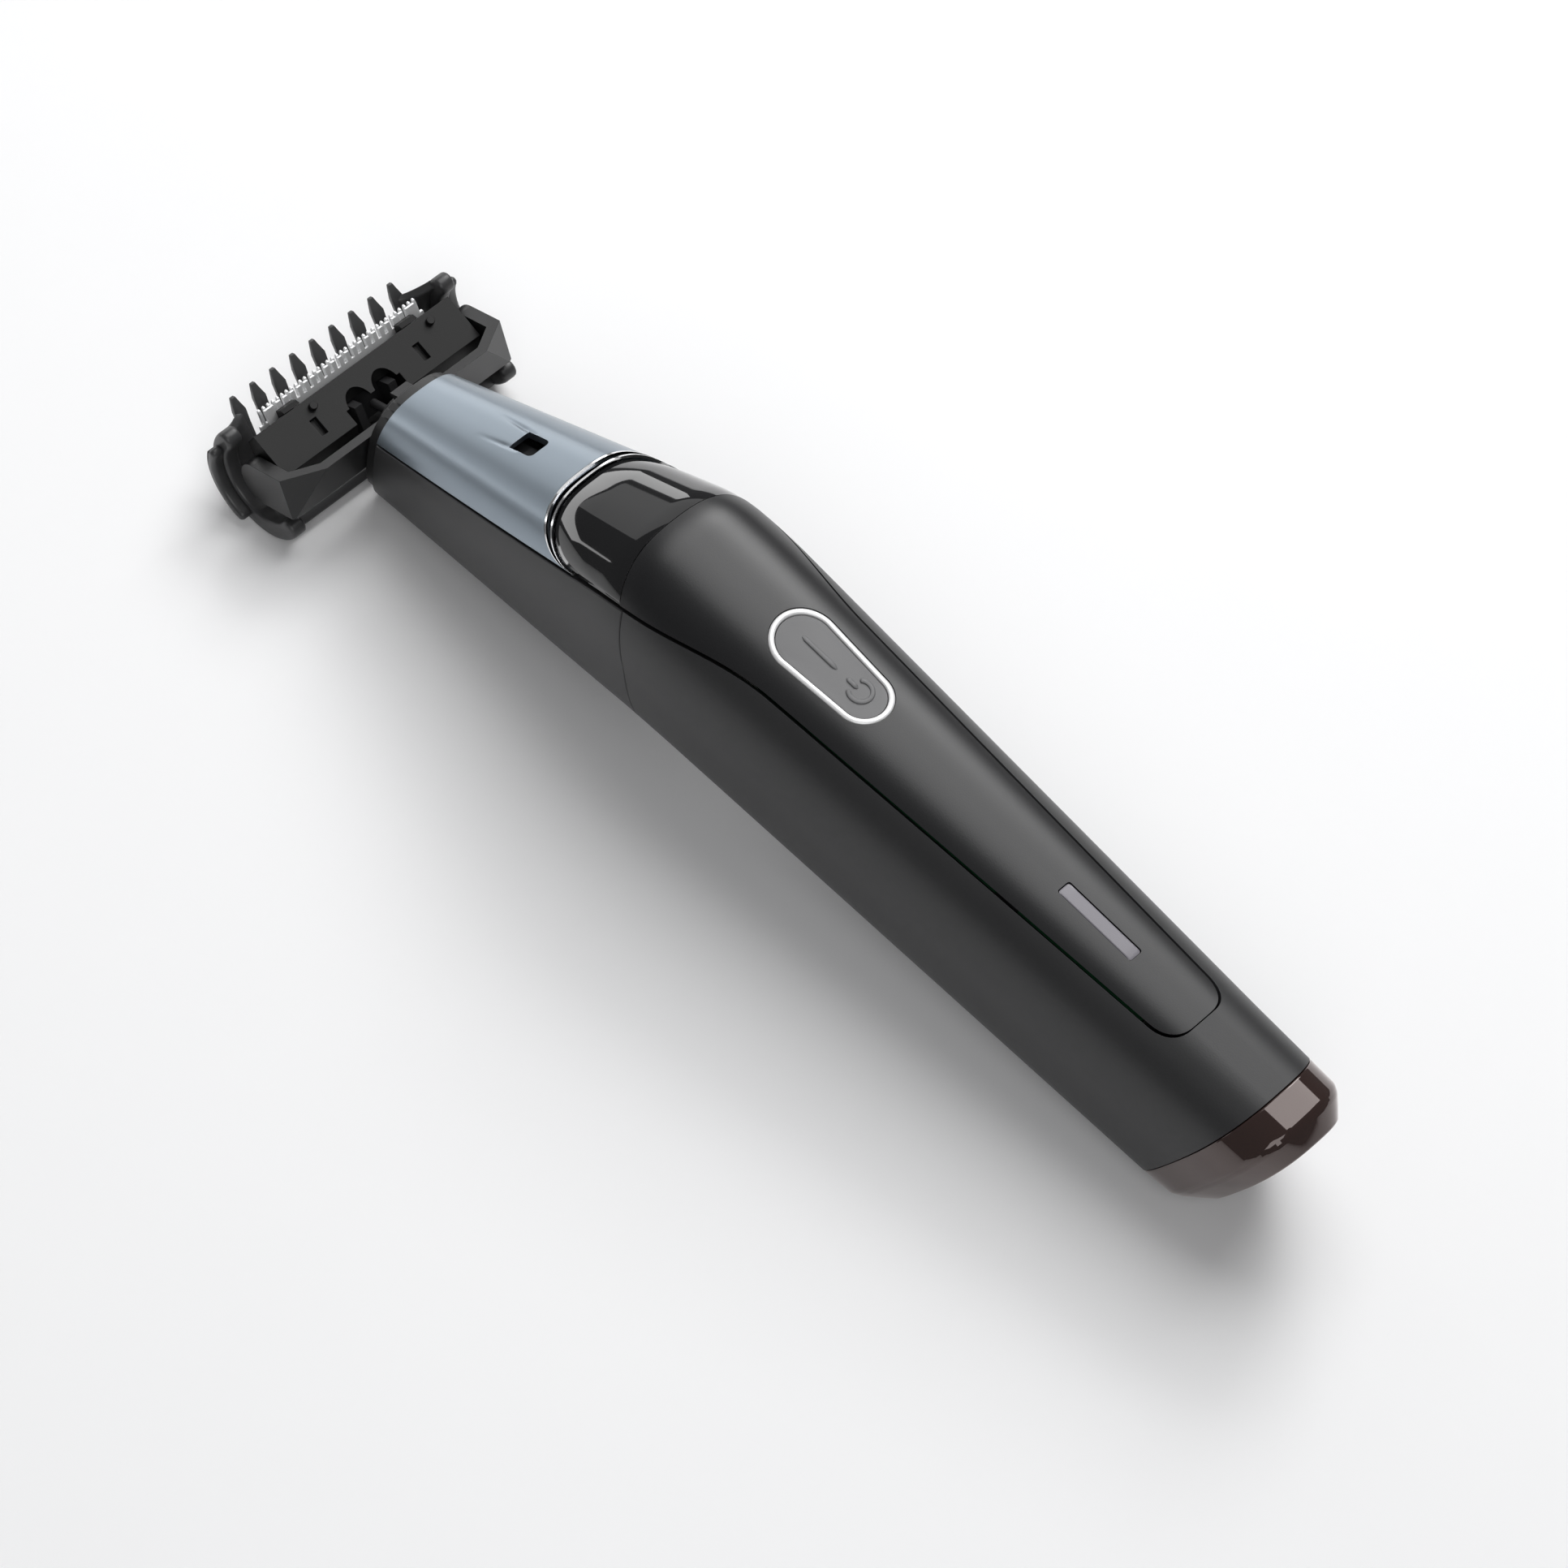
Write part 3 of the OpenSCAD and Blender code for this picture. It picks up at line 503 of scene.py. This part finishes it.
def neck_shell(finish):
    def station(s, t, inset):
        start = parting(under_angle(PARTING, t), inset, PANEL_GAP / 2)
        return start + (neck_front(under_angle(NECK_END, t), inset) - start) * s

    obj = panel("neck_shell_skin", station, under_angle, (0, SHELL_WALL), even(60), 100)
    round_edges(obj, 0.16)
    return finished(obj, finish, "handle", "shell_black", "neck_shell")


def base_cap(finish):
    """The smoky cap: a band, a faceted shoulder and a domed end round the socket."""
    cols = 96
    socket_z = 12
    lean = math.atan(CAP_LEAN)
    mouth = (CAP_JOINT - CAP_BAND - DOME + CAP_LEAN * (top_z(CAP_JOINT) - socket_z), socket_z)
    degrees = [360 * j / cols for j in range(cols)]

    def ring(inset, d):
        return [skin(cap_edge(a, inset, d), a, inset) for a in degrees]

    def hole(depth, radius=3.16):
        points = []
        for a in degrees:
            c = math.radians(a)
            up = radius * math.cos(c)
            y = mouth[0] - up * math.sin(lean) + depth * math.cos(lean)
            z = mouth[1] + up * math.cos(lean) + depth * math.sin(lean)
            points.append(at(radius * math.sin(c), y, z))
        return points

    end = ring(DOME_INSET, -CAP_BAND - DOME)
    rim = hole(0)
    face = [[p.lerp(q, f) for p, q in zip(end, rim)] for f in (0.25, 0.5, 0.75)]
    outer = [ring(0, -PANEL_GAP / 2), ring(0, -2), ring(0, -CAP_BAND), ring(0.35, -CAP_BAND - 0.9)]
    outer += [ring(1.3, -CAP_BAND - 2.25), end] + face + [rim, hole(1.4)]
    inner = [ring(SHELL_WALL, -PANEL_GAP / 2), ring(SHELL_WALL, -CAP_BAND - 0.1), hole(2.2)]
    rings = outer + inner[::-1]
    points = [p for r in rings for p in r]
    faces = []
    for r in range(len(rings)):
        n = (r + 1) % len(rings)
        for j in range(cols):
            k = (j + 1) % cols
            faces.append((r * cols + j, n * cols + j, n * cols + k, r * cols + k))
    obj = mesh_piece("base_cap_skin", points, faces)
    recalculated(obj)
    smooth(obj, 14)
    round_edges(obj, 0.22, 3, 14)
    return finished(obj, finish, "handle", "smoke_bronze", "base_cap")


def recalculated(obj):
    with editing(obj) as mesh:
        bmesh.ops.recalc_face_normals(mesh, faces=mesh.faces)


# ---- Button and light ---------------------------------------------------------------


def button_ring(finish):
    """The bright ring, rounded over its top."""
    rings = [(pill(0), -2.2), (pill(0), -0.25)]
    for a in range(0, 181, 20):
        c = math.radians(a)
        rings.append((pill(RING_W / 2 * (1 - math.cos(c))), -0.22 + 0.24 * math.sin(c)))
    rings += [(pill(RING_W), -0.25), (pill(RING_W), -2.2), (pill(0), -2.2)]
    obj, _ = crowned_rings("button_ring_skin", rings, BUTTON_Y)
    merged(obj)
    smooth(obj, 50)
    return finished(obj, finish, "handle", "ring_silver", "button_ring")


def merged(obj):
    with editing(obj) as mesh:
        bmesh.ops.remove_doubles(mesh, verts=mesh.verts, dist=1e-7)
        bmesh.ops.recalc_face_normals(mesh, faces=mesh.faces)


def power_button(finish):
    """The button's top is slightly hollow and its edge is rounded."""
    edge = pill(-0.1)
    rings = [(scaled(edge, f), -0.42 + 0.14 * f**4) for f in (0.02, 0.2, 0.4, 0.6, 0.75, 0.88, 0.96)]
    rings += [(pill(-0.12), -0.3), (pill(-0.1), -0.42), (pill(-0.1), -1.9), (scaled(edge, 0.02), -1.9)]
    obj, count = crowned_rings("power_button_skin", rings, BUTTON_Y)
    fill_end(obj, 0, count, False)
    fill_end(obj, (len(rings) - 1) * count, count, True)
    smooth(obj, 45)
    return finished(obj, finish, "button", "button_grey", "power_button")


def stroke(name, path, width, height, base):
    """A raised line on the button, round in section, along a path of (x, y) points."""
    points = []
    sides = 10
    for i, (x, y) in enumerate(path):
        nx, ny = path[min(i + 1, len(path) - 1)]
        px, py = path[max(i - 1, 0)]
        length = math.hypot(nx - px, ny - py)
        across = ((ny - py) / length, -(nx - px) / length)
        end = 0.35 if i in (0, len(path) - 1) else 1
        for j in range(sides):
            a = math.pi * j / (sides - 1)
            w = width / 2 * math.cos(a) * end
            lift = base + height * max(0, math.sin(a)) ** 0.35 * end
            points.append(crown(x + across[0] * w, BUTTON_Y + y + across[1] * w, lift))
    obj = mesh_piece(name, points, tube_faces(len(path), sides) + end_faces(len(path), sides))
    recalculated(obj)
    smooth(obj, 50)
    return obj


def button_marks(finish):
    """A generic bar and power symbol, raised from the button."""
    bar = [(0.25, -0.2 + 5.5 * s) for s in even(12)]
    dial_y, dial_r = -3.95, 1.4
    dial = [
        (0.3 + dial_r * math.sin(math.radians(a)), dial_y + dial_r * math.cos(math.radians(a)))
        for a in range(42, 319, 6)
    ]
    tick = [(0.3, dial_y + 0.45 + 1.75 * s) for s in even(6)]
    for name, path in (("button_bar", bar), ("button_dial", dial), ("button_tick", tick)):
        obj = stroke(name, path, 0.6, 0.2, -0.42)
        finished(obj, finish, "button", "button_grey")


def led_window(finish):
    outline = light_outline(0)
    rings = [(scaled(outline, f), -0.1) for f in (0.05, 0.4, 0.75, 0.93)]
    rings += [(outline, -0.2), (outline, -1.5), (scaled(outline, 0.05), -1.5)]
    obj, count = crowned_rings("led_window_skin", rings, LIGHT_REAR + LIGHT_L / 2)
    fill_end(obj, 0, count, False)
    fill_end(obj, (len(rings) - 1) * count, count, True)
    smooth(obj, 45)
    return finished(obj, finish, "handle", "light_grey", "led_window")


# ---- Head ---------------------------------------------------------------------------


def softened(node, width, finish, body, slot, segments=2, facets=12):
    """A copy of a moulded or ground part with its sharp edges rounded."""
    obj = new_object(node + "_rounded", frame["nodes"][node].data.copy())
    with editing(obj) as mesh:
        bmesh.ops.remove_doubles(mesh, verts=mesh.verts, dist=1e-6)
        bmesh.ops.dissolve_limit(mesh, angle_limit=math.radians(1), verts=mesh.verts, edges=mesh.edges)
    smooth(obj, facets)
    round_edges(obj, width, segments, facets)
    return finished(obj, finish, body, slot, node)


def repeated_row():
    """Geometry Nodes: copies of one item set along X at an even pitch."""
    tree = bpy.data.node_groups.new("even_row", "GeometryNodeTree")
    sockets = {}
    for name, kind in (("Item", "Object"), ("Count", "Int"), ("Pitch", "Float"), ("Finish", "Material")):
        socket = tree.interface.new_socket(name, in_out="INPUT", socket_type="NodeSocket" + kind)
        sockets[name] = socket.identifier
    tree.interface.new_socket("Geometry", in_out="OUTPUT", socket_type="NodeSocketGeometry")
    nodes, links = tree.nodes, tree.links
    source, result = nodes.new("NodeGroupInput"), nodes.new("NodeGroupOutput")
    info, row = nodes.new("GeometryNodeObjectInfo"), nodes.new("GeometryNodeMeshLine")
    place, real = nodes.new("GeometryNodeInstanceOnPoints"), nodes.new("GeometryNodeRealizeInstances")
    paint, start = nodes.new("GeometryNodeSetMaterial"), nodes.new("ShaderNodeCombineXYZ")
    step, half = nodes.new("ShaderNodeCombineXYZ"), nodes.new("ShaderNodeMath")
    gaps = nodes.new("ShaderNodeMath")
    gaps.operation, gaps.inputs[1].default_value = "SUBTRACT", 1
    half.operation = "MULTIPLY"
    shift = nodes.new("ShaderNodeMath")
    shift.operation, shift.inputs[1].default_value = "MULTIPLY", -0.5
    links.new(source.outputs["Count"], gaps.inputs[0])
    links.new(gaps.outputs[0], half.inputs[0])
    links.new(source.outputs["Pitch"], half.inputs[1])
    links.new(half.outputs[0], shift.inputs[0])
    links.new(shift.outputs[0], start.inputs["X"])
    links.new(source.outputs["Pitch"], step.inputs["X"])
    links.new(source.outputs["Count"], row.inputs["Count"])
    links.new(start.outputs[0], row.inputs["Start Location"])
    links.new(step.outputs[0], row.inputs["Offset"])
    links.new(source.outputs["Item"], info.inputs["Object"])
    links.new(row.outputs["Mesh"], place.inputs["Points"])
    links.new(info.outputs["Geometry"], place.inputs["Instance"])
    links.new(place.outputs["Instances"], real.inputs["Geometry"])
    links.new(real.outputs["Geometry"], paint.inputs["Geometry"])
    links.new(source.outputs["Finish"], paint.inputs["Material"])
    links.new(paint.outputs["Geometry"], result.inputs[0])
    return tree, sockets


EVEN_ROW, ROW_SOCKETS = repeated_row()


def row_of(item, count, pitch, finish):
    """A plain mesh of evenly spaced copies of an item, which is used up."""
    maker = new_object(item.name + "_row", bpy.data.meshes.new("row"))
    modifier = maker.modifiers.new("row", "NODES")
    modifier.node_group = EVEN_ROW
    values = {"Item": item, "Count": count, "Pitch": pitch * MM, "Finish": finish}
    for name, value in values.items():
        modifier[ROW_SOCKETS[name]] = value
    apply_modifiers(maker)
    bpy.data.objects.remove(item)
    return maker


def joined(name, parts):
    """Joins pieces into one mesh object."""
    mesh = bmesh.new()
    for part in parts:
        mesh.from_mesh(evaluated_mesh(part))
        bpy.data.objects.remove(part)
    data = bpy.data.meshes.new(name)
    mesh.to_mesh(data)
    mesh.free()
    return new_object(name, data)


def on_pivot(pitch, y, z):
    """A point ahead of and above the pivot, in a frame pitched down about it."""
    c, s = math.cos(math.radians(pitch)), math.sin(math.radians(pitch))
    return PIVOT_Y + y * c + z * s, PIVOT_Z - y * s + z * c


def lofted(name, sections, pitch=0.0):
    """Joins sections, each a list of (x, y, z) about the pivot, into a closed solid."""
    points = []
    rows, count = len(sections), len(sections[0])
    for section in sections:
        for x, y, z in section:
            py, pz = on_pivot(pitch, y, z)
            points.append(at(x, py, pz))
    obj = mesh_piece(name, points, tube_faces(rows, count) + end_faces(rows, count))
    recalculated(obj)
    return obj


FIN_STATIONS = (
    # back edge (y, z), front edge (y, z), half thickness at the back, at the front
    ((10.05, 3.22), (10.5, 3.06), 0.36, 0.3),
    ((9.5, 2.6), (10.2, 2.4), 0.55, 0.45),
    ((8.7, 1.75), (9.7, 1.3), 0.86, 0.66),
    ((8.05, 0.2), (8.62, -0.65), 0.84, 0.66),
    ((6.2, -2.9), (7.0, -3.9), 0.72, 0.6),
    ((3.9, -5.6), (5.1, -5.8), 0.7, 0.65),
)


def comb_fins(finish):
    sections = [
        [(-b, *back), (b, *back), (f, *front), (-f, *front)] for back, front, b, f in FIN_STATIONS
    ]
    fin = lofted("comb_fin", sections)
    round_edges(fin, 0.1, 2)
    return row_of(fin, 9, 3.22, finish)


def ring_band(name, r0, r1, a0, a1, x0, x1, rounded_ends, step=4):
    """Part of a ring round the pivot between two angles, drawn out from x0 to x1."""
    mid, thick = (r0 + r1) / 2, (r1 - r0) / 2
    count = max(3, int(abs(a1 - a0) / step))
    arc = [math.radians(a0 + (a1 - a0) * i / count) for i in range(count + 1)]

    def round_end(where, start):
        turns = [start + math.pi * i / 8 for i in range(1, 8)] if rounded_ends else []
        x, y = mid * math.cos(where), mid * math.sin(where)
        return [(x + thick * math.cos(a), y + thick * math.sin(a)) for a in turns]

    outline = [(r1 * math.cos(a), r1 * math.sin(a)) for a in arc] + round_end(arc[-1], arc[-1])
    outline += [(r0 * math.cos(a), r0 * math.sin(a)) for a in arc[::-1]]
    outline += round_end(arc[0], arc[0] + math.pi)
    obj = lofted(name, [[(x, y, z) for y, z in outline] for x in (x0, x1)])
    smooth(obj)
    return obj


def comb_web(side):
    """Joins an outermost fin to its arm; its top edge rises to the arm in a hollow curve."""
    sections = []
    for f in even(12):
        top, reach = 10 + 23 * f**1.6, (1 - f) ** 1.5
        arc = [(u, math.radians(-50 + (top + 50) * u)) for u in even(18)]
        rim = []
        for radius, flare, side_arc in ((7.8, 1.9, arc), (6.6, 2.2, arc[::-1])):
            for u, a in side_arc:
                r = radius + flare * reach * u**4
                rim.append((r * math.cos(a), r * math.sin(a)))
        sections.append([(side * (12.7 + 4 * f), y, z) for y, z in rim])
    web = lofted("web", sections)
    smooth(web)
    round_edges(web, 0.25)
    return web


def comb_guard(finish):
    parts = [comb_fins(finish)]
    for side in (-1, 1):
        arm = ring_band("arm", 5.3, 7.8, -148, 33, side * 16.3, side * 18.5, True)
        round_edges(arm, 0.45)
        pad = ring_band("pad", 5.7, 7.0, -75, 16, side * 18.3, side * 20, True)
        round_edges(pad, 0.5)
        web = comb_web(side)
        rib = ring_band("rib", 6.9, 7.25, -70, 12, side * 18.6, side * 19.8, True)
        round_edges(rib, 0.12)
        parts += [arm, pad, web, rib]
    bar = ring_band("bar", 6.4, 7.8, -128, -48, -17.4, 17.4, False)
    round_edges(bar, 0.3)
    obj = joined("comb_guard_skin", parts + [bar])
    smooth(obj, 40)
    return finished(obj, finish, "comb", "comb_grey", "comb_guard")


FACE_Y, ROOT_Z, TOOTH_L, TOOTH_PITCH = 3.27, 4.6, 2.1, 0.74


def fixed_blade(finish):
    """The polished strip with its row of tapered teeth."""
    half, thick = 13.3, 0.5
    back, front = FACE_Y - thick, FACE_Y
    section = ((back, -0.6), (front, -0.6), (front, ROOT_Z), (back, ROOT_Z))
    strip = lofted("strip", [[(x, y, z) for y, z in section] for x in (-half, half)], BLADE_PITCH)
    round_edges(strip, 0.06, 2)
    # Steps along a tooth: how far along, half width, back and front faces
    profile = ((0, 0.19, back, front), (0.7, 0.19, back, front),
               (0.92, 0.16, back + 0.05, front - 0.03), (1, 0.08, back + 0.18, front - 0.12))
    sections = []
    for f, w, y0, y1 in profile:
        z = ROOT_Z - 0.02 + TOOTH_L * f
        sections.append([(-w, y0, z), (w, y0, z), (w, y1, z), (-w, y1, z)])
    tooth = lofted("tooth", sections, BLADE_PITCH)
    teeth = row_of(tooth, int((2 * half - 0.6) / TOOTH_PITCH), TOOTH_PITCH, finish)
    obj = joined("fixed_blade_skin", [strip, teeth])
    return finished(obj, finish, "cartridge", "blade_steel", "fixed_blade")


# ---- Finishes -----------------------------------------------------------------------


def shader_group(name, inputs, outputs):
    tree = bpy.data.node_groups.new(name, "ShaderNodeTree")
    for label, value in inputs.items():
        socket = tree.interface.new_socket(label, in_out="INPUT", socket_type="NodeSocketFloat")
        socket.default_value = value
    for label in outputs:
        tree.interface.new_socket(label, in_out="OUTPUT", socket_type="NodeSocketFloat")
    return tree, tree.nodes.new("NodeGroupInput"), tree.nodes.new("NodeGroupOutput")


def moulded_grain():
    """Fine spark-eroded grain and broad, faint handling marks."""
    inputs = {"Grain Scale": 4000, "Mark Scale": 60}
    tree, source, result = shader_group("moulded_grain", inputs, ("Grain", "Marks"))
    nodes, links = tree.nodes, tree.links
    place = nodes.new("ShaderNodeTexCoord")
    grain, cells = nodes.new("ShaderNodeTexNoise"), nodes.new("ShaderNodeTexVoronoi")
    marks = nodes.new("ShaderNodeTexNoise")
    grain.inputs["Detail"].default_value = 3
    marks.inputs["Detail"].default_value = 5
    marks.inputs["Roughness"].default_value = 0.6
    blend = nodes.new("ShaderNodeMath")
    blend.operation = "ADD"
    for texture, scale in ((grain, "Grain Scale"), (cells, "Grain Scale"), (marks, "Mark Scale")):
        links.new(place.outputs["Object"], texture.inputs["Vector"])
        links.new(source.outputs[scale], texture.inputs["Scale"])
    links.new(grain.outputs[0], blend.inputs[0])
    links.new(cells.outputs["Distance"], blend.inputs[1])
    links.new(blend.outputs[0], result.inputs["Grain"])
    links.new(marks.outputs[0], result.inputs["Marks"])
    return tree


def brushed_lines():
    """Fine lines along X, as grinding and brushing leave them."""
    tree, source, result = shader_group("brushed_lines", {"Line Scale": 9000, "Stretch": 0.02}, ("Lines",))
    nodes, links = tree.nodes, tree.links
    place, squeeze = nodes.new("ShaderNodeTexCoord"), nodes.new("ShaderNodeVectorMath")
    squeeze.operation = "MULTIPLY"
    shape, lines = nodes.new("ShaderNodeCombineXYZ"), nodes.new("ShaderNodeTexNoise")
    shape.inputs["Y"].default_value = 1
    shape.inputs["Z"].default_value = 1
    lines.inputs["Detail"].default_value = 4
    links.new(source.outputs["Stretch"], shape.inputs["X"])
    links.new(place.outputs["Object"], squeeze.inputs[0])
    links.new(shape.outputs[0], squeeze.inputs[1])
    links.new(squeeze.outputs[0], lines.inputs["Vector"])
    links.new(source.outputs["Line Scale"], lines.inputs["Scale"])
    links.new(lines.outputs[0], result.inputs["Lines"])
    return tree


MOULDED, BRUSHED = moulded_grain(), brushed_lines()


def finish(name, color, rough, grain=0.0, grain_scale=4000, effect=None, tint=0.12, **sockets):
    """A procedural finish: colour and roughness wander a little, and grain lifts the surface."""
    material = bpy.data.materials.new(name)
    material.use_nodes = True
    nodes, links = material.node_tree.nodes, material.node_tree.links
    shader = nodes["Principled BSDF"]
    for label, value in sockets.items():
        shader.inputs[label.replace("_", " ").title().replace("Ior", "IOR")].default_value = value
    group = nodes.new("ShaderNodeGroup")
    group.node_tree = effect or MOULDED
    if effect:
        height = marks = group.outputs["Lines"]
        group.inputs["Line Scale"].default_value = grain_scale
    else:
        height, marks = group.outputs["Grain"], group.outputs["Marks"]
        group.inputs["Grain Scale"].default_value = grain_scale
    shade = nodes.new("ShaderNodeMapRange")
    shade.inputs["To Min"].default_value = rough[0]
    shade.inputs["To Max"].default_value = rough[1]
    links.new(marks, shade.inputs["Value"])
    links.new(shade.outputs[0], shader.inputs["Roughness"])
    colour = nodes.new("ShaderNodeMix")
    colour.data_type = "RGBA"
    colour.inputs["A"].default_value = (*[c * (1 - tint) for c in color], 1)
    colour.inputs["B"].default_value = (*[min(1, c * (1 + tint)) for c in color], 1)
    links.new(marks, colour.inputs["Factor"])
    links.new(colour.outputs["Result"], shader.inputs["Base Color"])
    if grain:
        bump = nodes.new("ShaderNodeBump")
        bump.inputs["Strength"].default_value = 1
        bump.inputs["Distance"].default_value = grain * MM
        links.new(height, bump.inputs["Height"])
        links.new(bump.outputs[0], shader.inputs["Normal"])
    return material


def finishes():
    f = {}
    f["shell_black"] = finish(
        "soft_touch_black", (0.024, 0.024, 0.025), (0.38, 0.45), 0.004, 5000, specular_ior_level=0.45)
    f["fascia_black"] = finish(
        "matte_black", (0.009, 0.009, 0.01), (0.33, 0.38), 0.003, 6000, specular_ior_level=0.5)
    f["gloss_black"] = finish(
        "piano_black", (0.006, 0.006, 0.0065), (0.03, 0.06), tint=0.2, coat_weight=0.5, coat_roughness=0.02)
    f["chrome_trim"] = finish("chrome_plate", (0.93, 0.94, 0.95), (0.08, 0.14), metallic=1.0)
    f["cover_blue_grey"] = finish(
        "blue_grey_lacquer", (0.27, 0.315, 0.36), (0.3, 0.35), tint=0.04,
        metallic=0.9, coat_weight=0.25, coat_roughness=0.15)
    f["smoke_bronze"] = finish(
        "smoked_bronze_gloss", (0.026, 0.015, 0.013), (0.03, 0.07), coat_weight=0.6,
        coat_roughness=0.03, ior=1.6, specular_tint=(1, 0.88, 0.85, 1), coat_tint=(1, 0.9, 0.88, 1))
    f["button_grey"] = finish("satin_grey", (0.13, 0.13, 0.133), (0.4, 0.48), 0.002, 6000)
    f["ring_silver"] = finish("satin_silver", (0.95, 0.95, 0.955), (0.3, 0.36), metallic=0.25)
    f["seal_black"] = finish("silicone", (0.02, 0.02, 0.02), (0.6, 0.7), 0.003)
    f["light_grey"] = finish(
        "milky_light_guide", (0.2, 0.19, 0.215), (0.35, 0.45), 0.003, 5000, coat_weight=0.2)
    f["board_green"] = finish("solder_mask", (0.03, 0.16, 0.07), (0.25, 0.4), 0.004, 2500, coat_weight=0.4)
    f["component_black"] = finish("component_resin", (0.03, 0.03, 0.033), (0.45, 0.6), 0.004)
    f["tin"] = finish("tinned_metal", (0.72, 0.72, 0.7), (0.25, 0.4), 0.002, metallic=1.0)
    f["steel"] = finish("turned_steel", (0.6, 0.61, 0.63), (0.2, 0.34), 0.002, effect=BRUSHED, metallic=1.0)
    f["blade_steel"] = finish(
        "polished_blade", (0.93, 0.94, 0.95), (0.28, 0.4), 0.001, 12000, BRUSHED, metallic=0.55)
    f["cell_wrap"] = finish("shrink_sleeve", (0.03, 0.14, 0.3), (0.25, 0.35), 0.002, coat_weight=0.3)
    f["white_plastic"] = finish("acetal", (0.7, 0.7, 0.66), (0.35, 0.45), 0.002)
    f["core_black"] = finish("moulded_core", (0.02, 0.02, 0.021), (0.4, 0.55), 0.004, 3500)
    f["bronze"] = finish("sintered_bronze", (0.45, 0.28, 0.1), (0.3, 0.45), 0.003, 5000, metallic=1.0)
    f["head_black"] = finish(
        "head_satin_black", (0.01, 0.01, 0.0105), (0.3, 0.38), 0.003, 6000, specular_ior_level=0.4)
    f["comb_grey"] = finish("comb_dark_grey", (0.04, 0.04, 0.041), (0.34, 0.42), 0.003, 6000)
    # A darker, less shiny copy of head_black for the blade carrier and spring clips: painted shade for a
    # cartridge that sits in shadow inside the yoke.
    f["cartridge_black"] = finish(
        "cartridge_black", (0.006, 0.006, 0.006), (0.36, 0.44), 0.003, 6000, specular_ior_level=0.25)
    f["lead_red"] = finish("lead_insulation", (0.45, 0.02, 0.015), (0.35, 0.45), 0.002)
    return f


def dress_frame(f):
    """Gives every frame part that still shows its finish."""
    slots = {part["node"]: part["material_slot"] for part in frame["record"]["subparts"]}
    for node, obj in frame["nodes"].items():
        obj.data.materials.clear()
        # The blade carrier and spring clips take the darker copy of the head's black, which is painted shade.
        shade_painted = node in ("blade_carrier", "spring_clips")
        obj.data.materials.append(f["cartridge_black" if shade_painted else slots[node]])


# ---- Stage --------------------------------------------------------------------------


def camera():
    azimuth, elevation, roll = (math.radians(a) for a in (-47.44, 55.78, 3.23))
    target, distance = Vector((-1.76, -1.87, 5.99)) * MM, 0.65
    flat = math.cos(elevation)
    back = Vector((math.sin(azimuth) * flat, -math.cos(azimuth) * flat, math.sin(elevation)))
    level = Vector((math.cos(azimuth), math.sin(azimuth), 0))
    right = level * math.cos(roll) + back.cross(level) * math.sin(roll)
    up = back.cross(right)
    data = bpy.data.cameras.new("camera")
    data.sensor_width, data.lens = 36, 127.7
    obj = bpy.data.objects.new("camera", data)
    bpy.context.scene.collection.objects.link(obj)
    turn = Matrix((right, up, back)).transposed().to_4x4()
    obj.matrix_world = Matrix.Translation(target + back * distance) @ turn
    bpy.context.scene.camera = obj


def softbox(name, place, aim, size, power):
    data = bpy.data.lights.new(name, "AREA")
    data.shape = "RECTANGLE"
    data.size, data.size_y = size
    data.energy = power
    obj = bpy.data.objects.new(name, data)
    bpy.context.scene.collection.objects.link(obj)
    place, aim = Vector(place), Vector(aim)
    obj.matrix_world = Matrix.Translation(place) @ (aim - place).to_track_quat("-Z", "Y").to_matrix().to_4x4()


def stage():
    corners = [(x, y, 0) for x, y in ((-2, -2), (2, -2), (2, 2), (-2, 2))]
    floor = mesh_piece("floor", corners, [(0, 1, 2, 3)])
    floor.data.materials.append(finish("pale_floor", (0.93, 0.93, 0.935), (0.7, 0.8), tint=0.01))
    world = bpy.data.worlds.new("studio")
    world.use_nodes = True
    background = world.node_tree.nodes["Background"]
    background.inputs["Color"].default_value = (0.97, 0.98, 1.0, 1)
    background.inputs["Strength"].default_value = 0.14
    bpy.context.scene.world = world
    bpy.context.scene.view_settings.view_transform = "Standard"
    softbox("overhead", (0.45, 0.17, 0.95), (0, 0, 0), (0.9, 0.9), 7.6)
    softbox("back", (0.1, 1.1, 0.21), (0, 0, 0.03), (1.5, 0.24), 2.9)
    softbox("sky", (0.55, 1.1, 0.62), (0, 0, 0.02), (1.1, 0.44), 0.9)
    softbox("fill", (-0.62, -0.75, 1.0), (0, 0, 0), (0.9, 0.9), 5.0)
    softbox("key", (0.55, 0.25, 0.5), (0, 0, 0.02), (0.3, 0.3), 1.8)


def main():
    camera()
    stage()
    f = finishes()
    dress_frame(f)
    back_shell(f["shell_black"])
    front_fascia(f["fascia_black"])
    gloss_collar(f["gloss_black"])
    trim("chrome_trim_rear", -TRIM_W, f["chrome_trim"])
    trim("chrome_trim_front", TRIM_W * 1.38, f["chrome_trim"])
    neck_cover(f["cover_blue_grey"])
    neck_shell(f["shell_black"])
    base_cap(f["smoke_bronze"])
    button_ring(f["ring_silver"])
    power_button(f["button_grey"])
    button_marks(f["button_grey"])
    led_window(f["light_grey"])
    comb_guard(f["comb_grey"])
    fixed_blade(f["blade_steel"])
    softened("head_yoke", 0.22, f["head_black"], "head", "head_black")
    # The cartridge pieces wear the darker copy of head_black: painted shade.
    softened("blade_carrier", 0.12, f["cartridge_black"], "cartridge", "head_black")
    softened("spring_clips", 0.08, f["cartridge_black"], "cartridge", "head_black")
    softened("neck_ring", 0.1, f["head_black"], "handle", "head_black")


main()
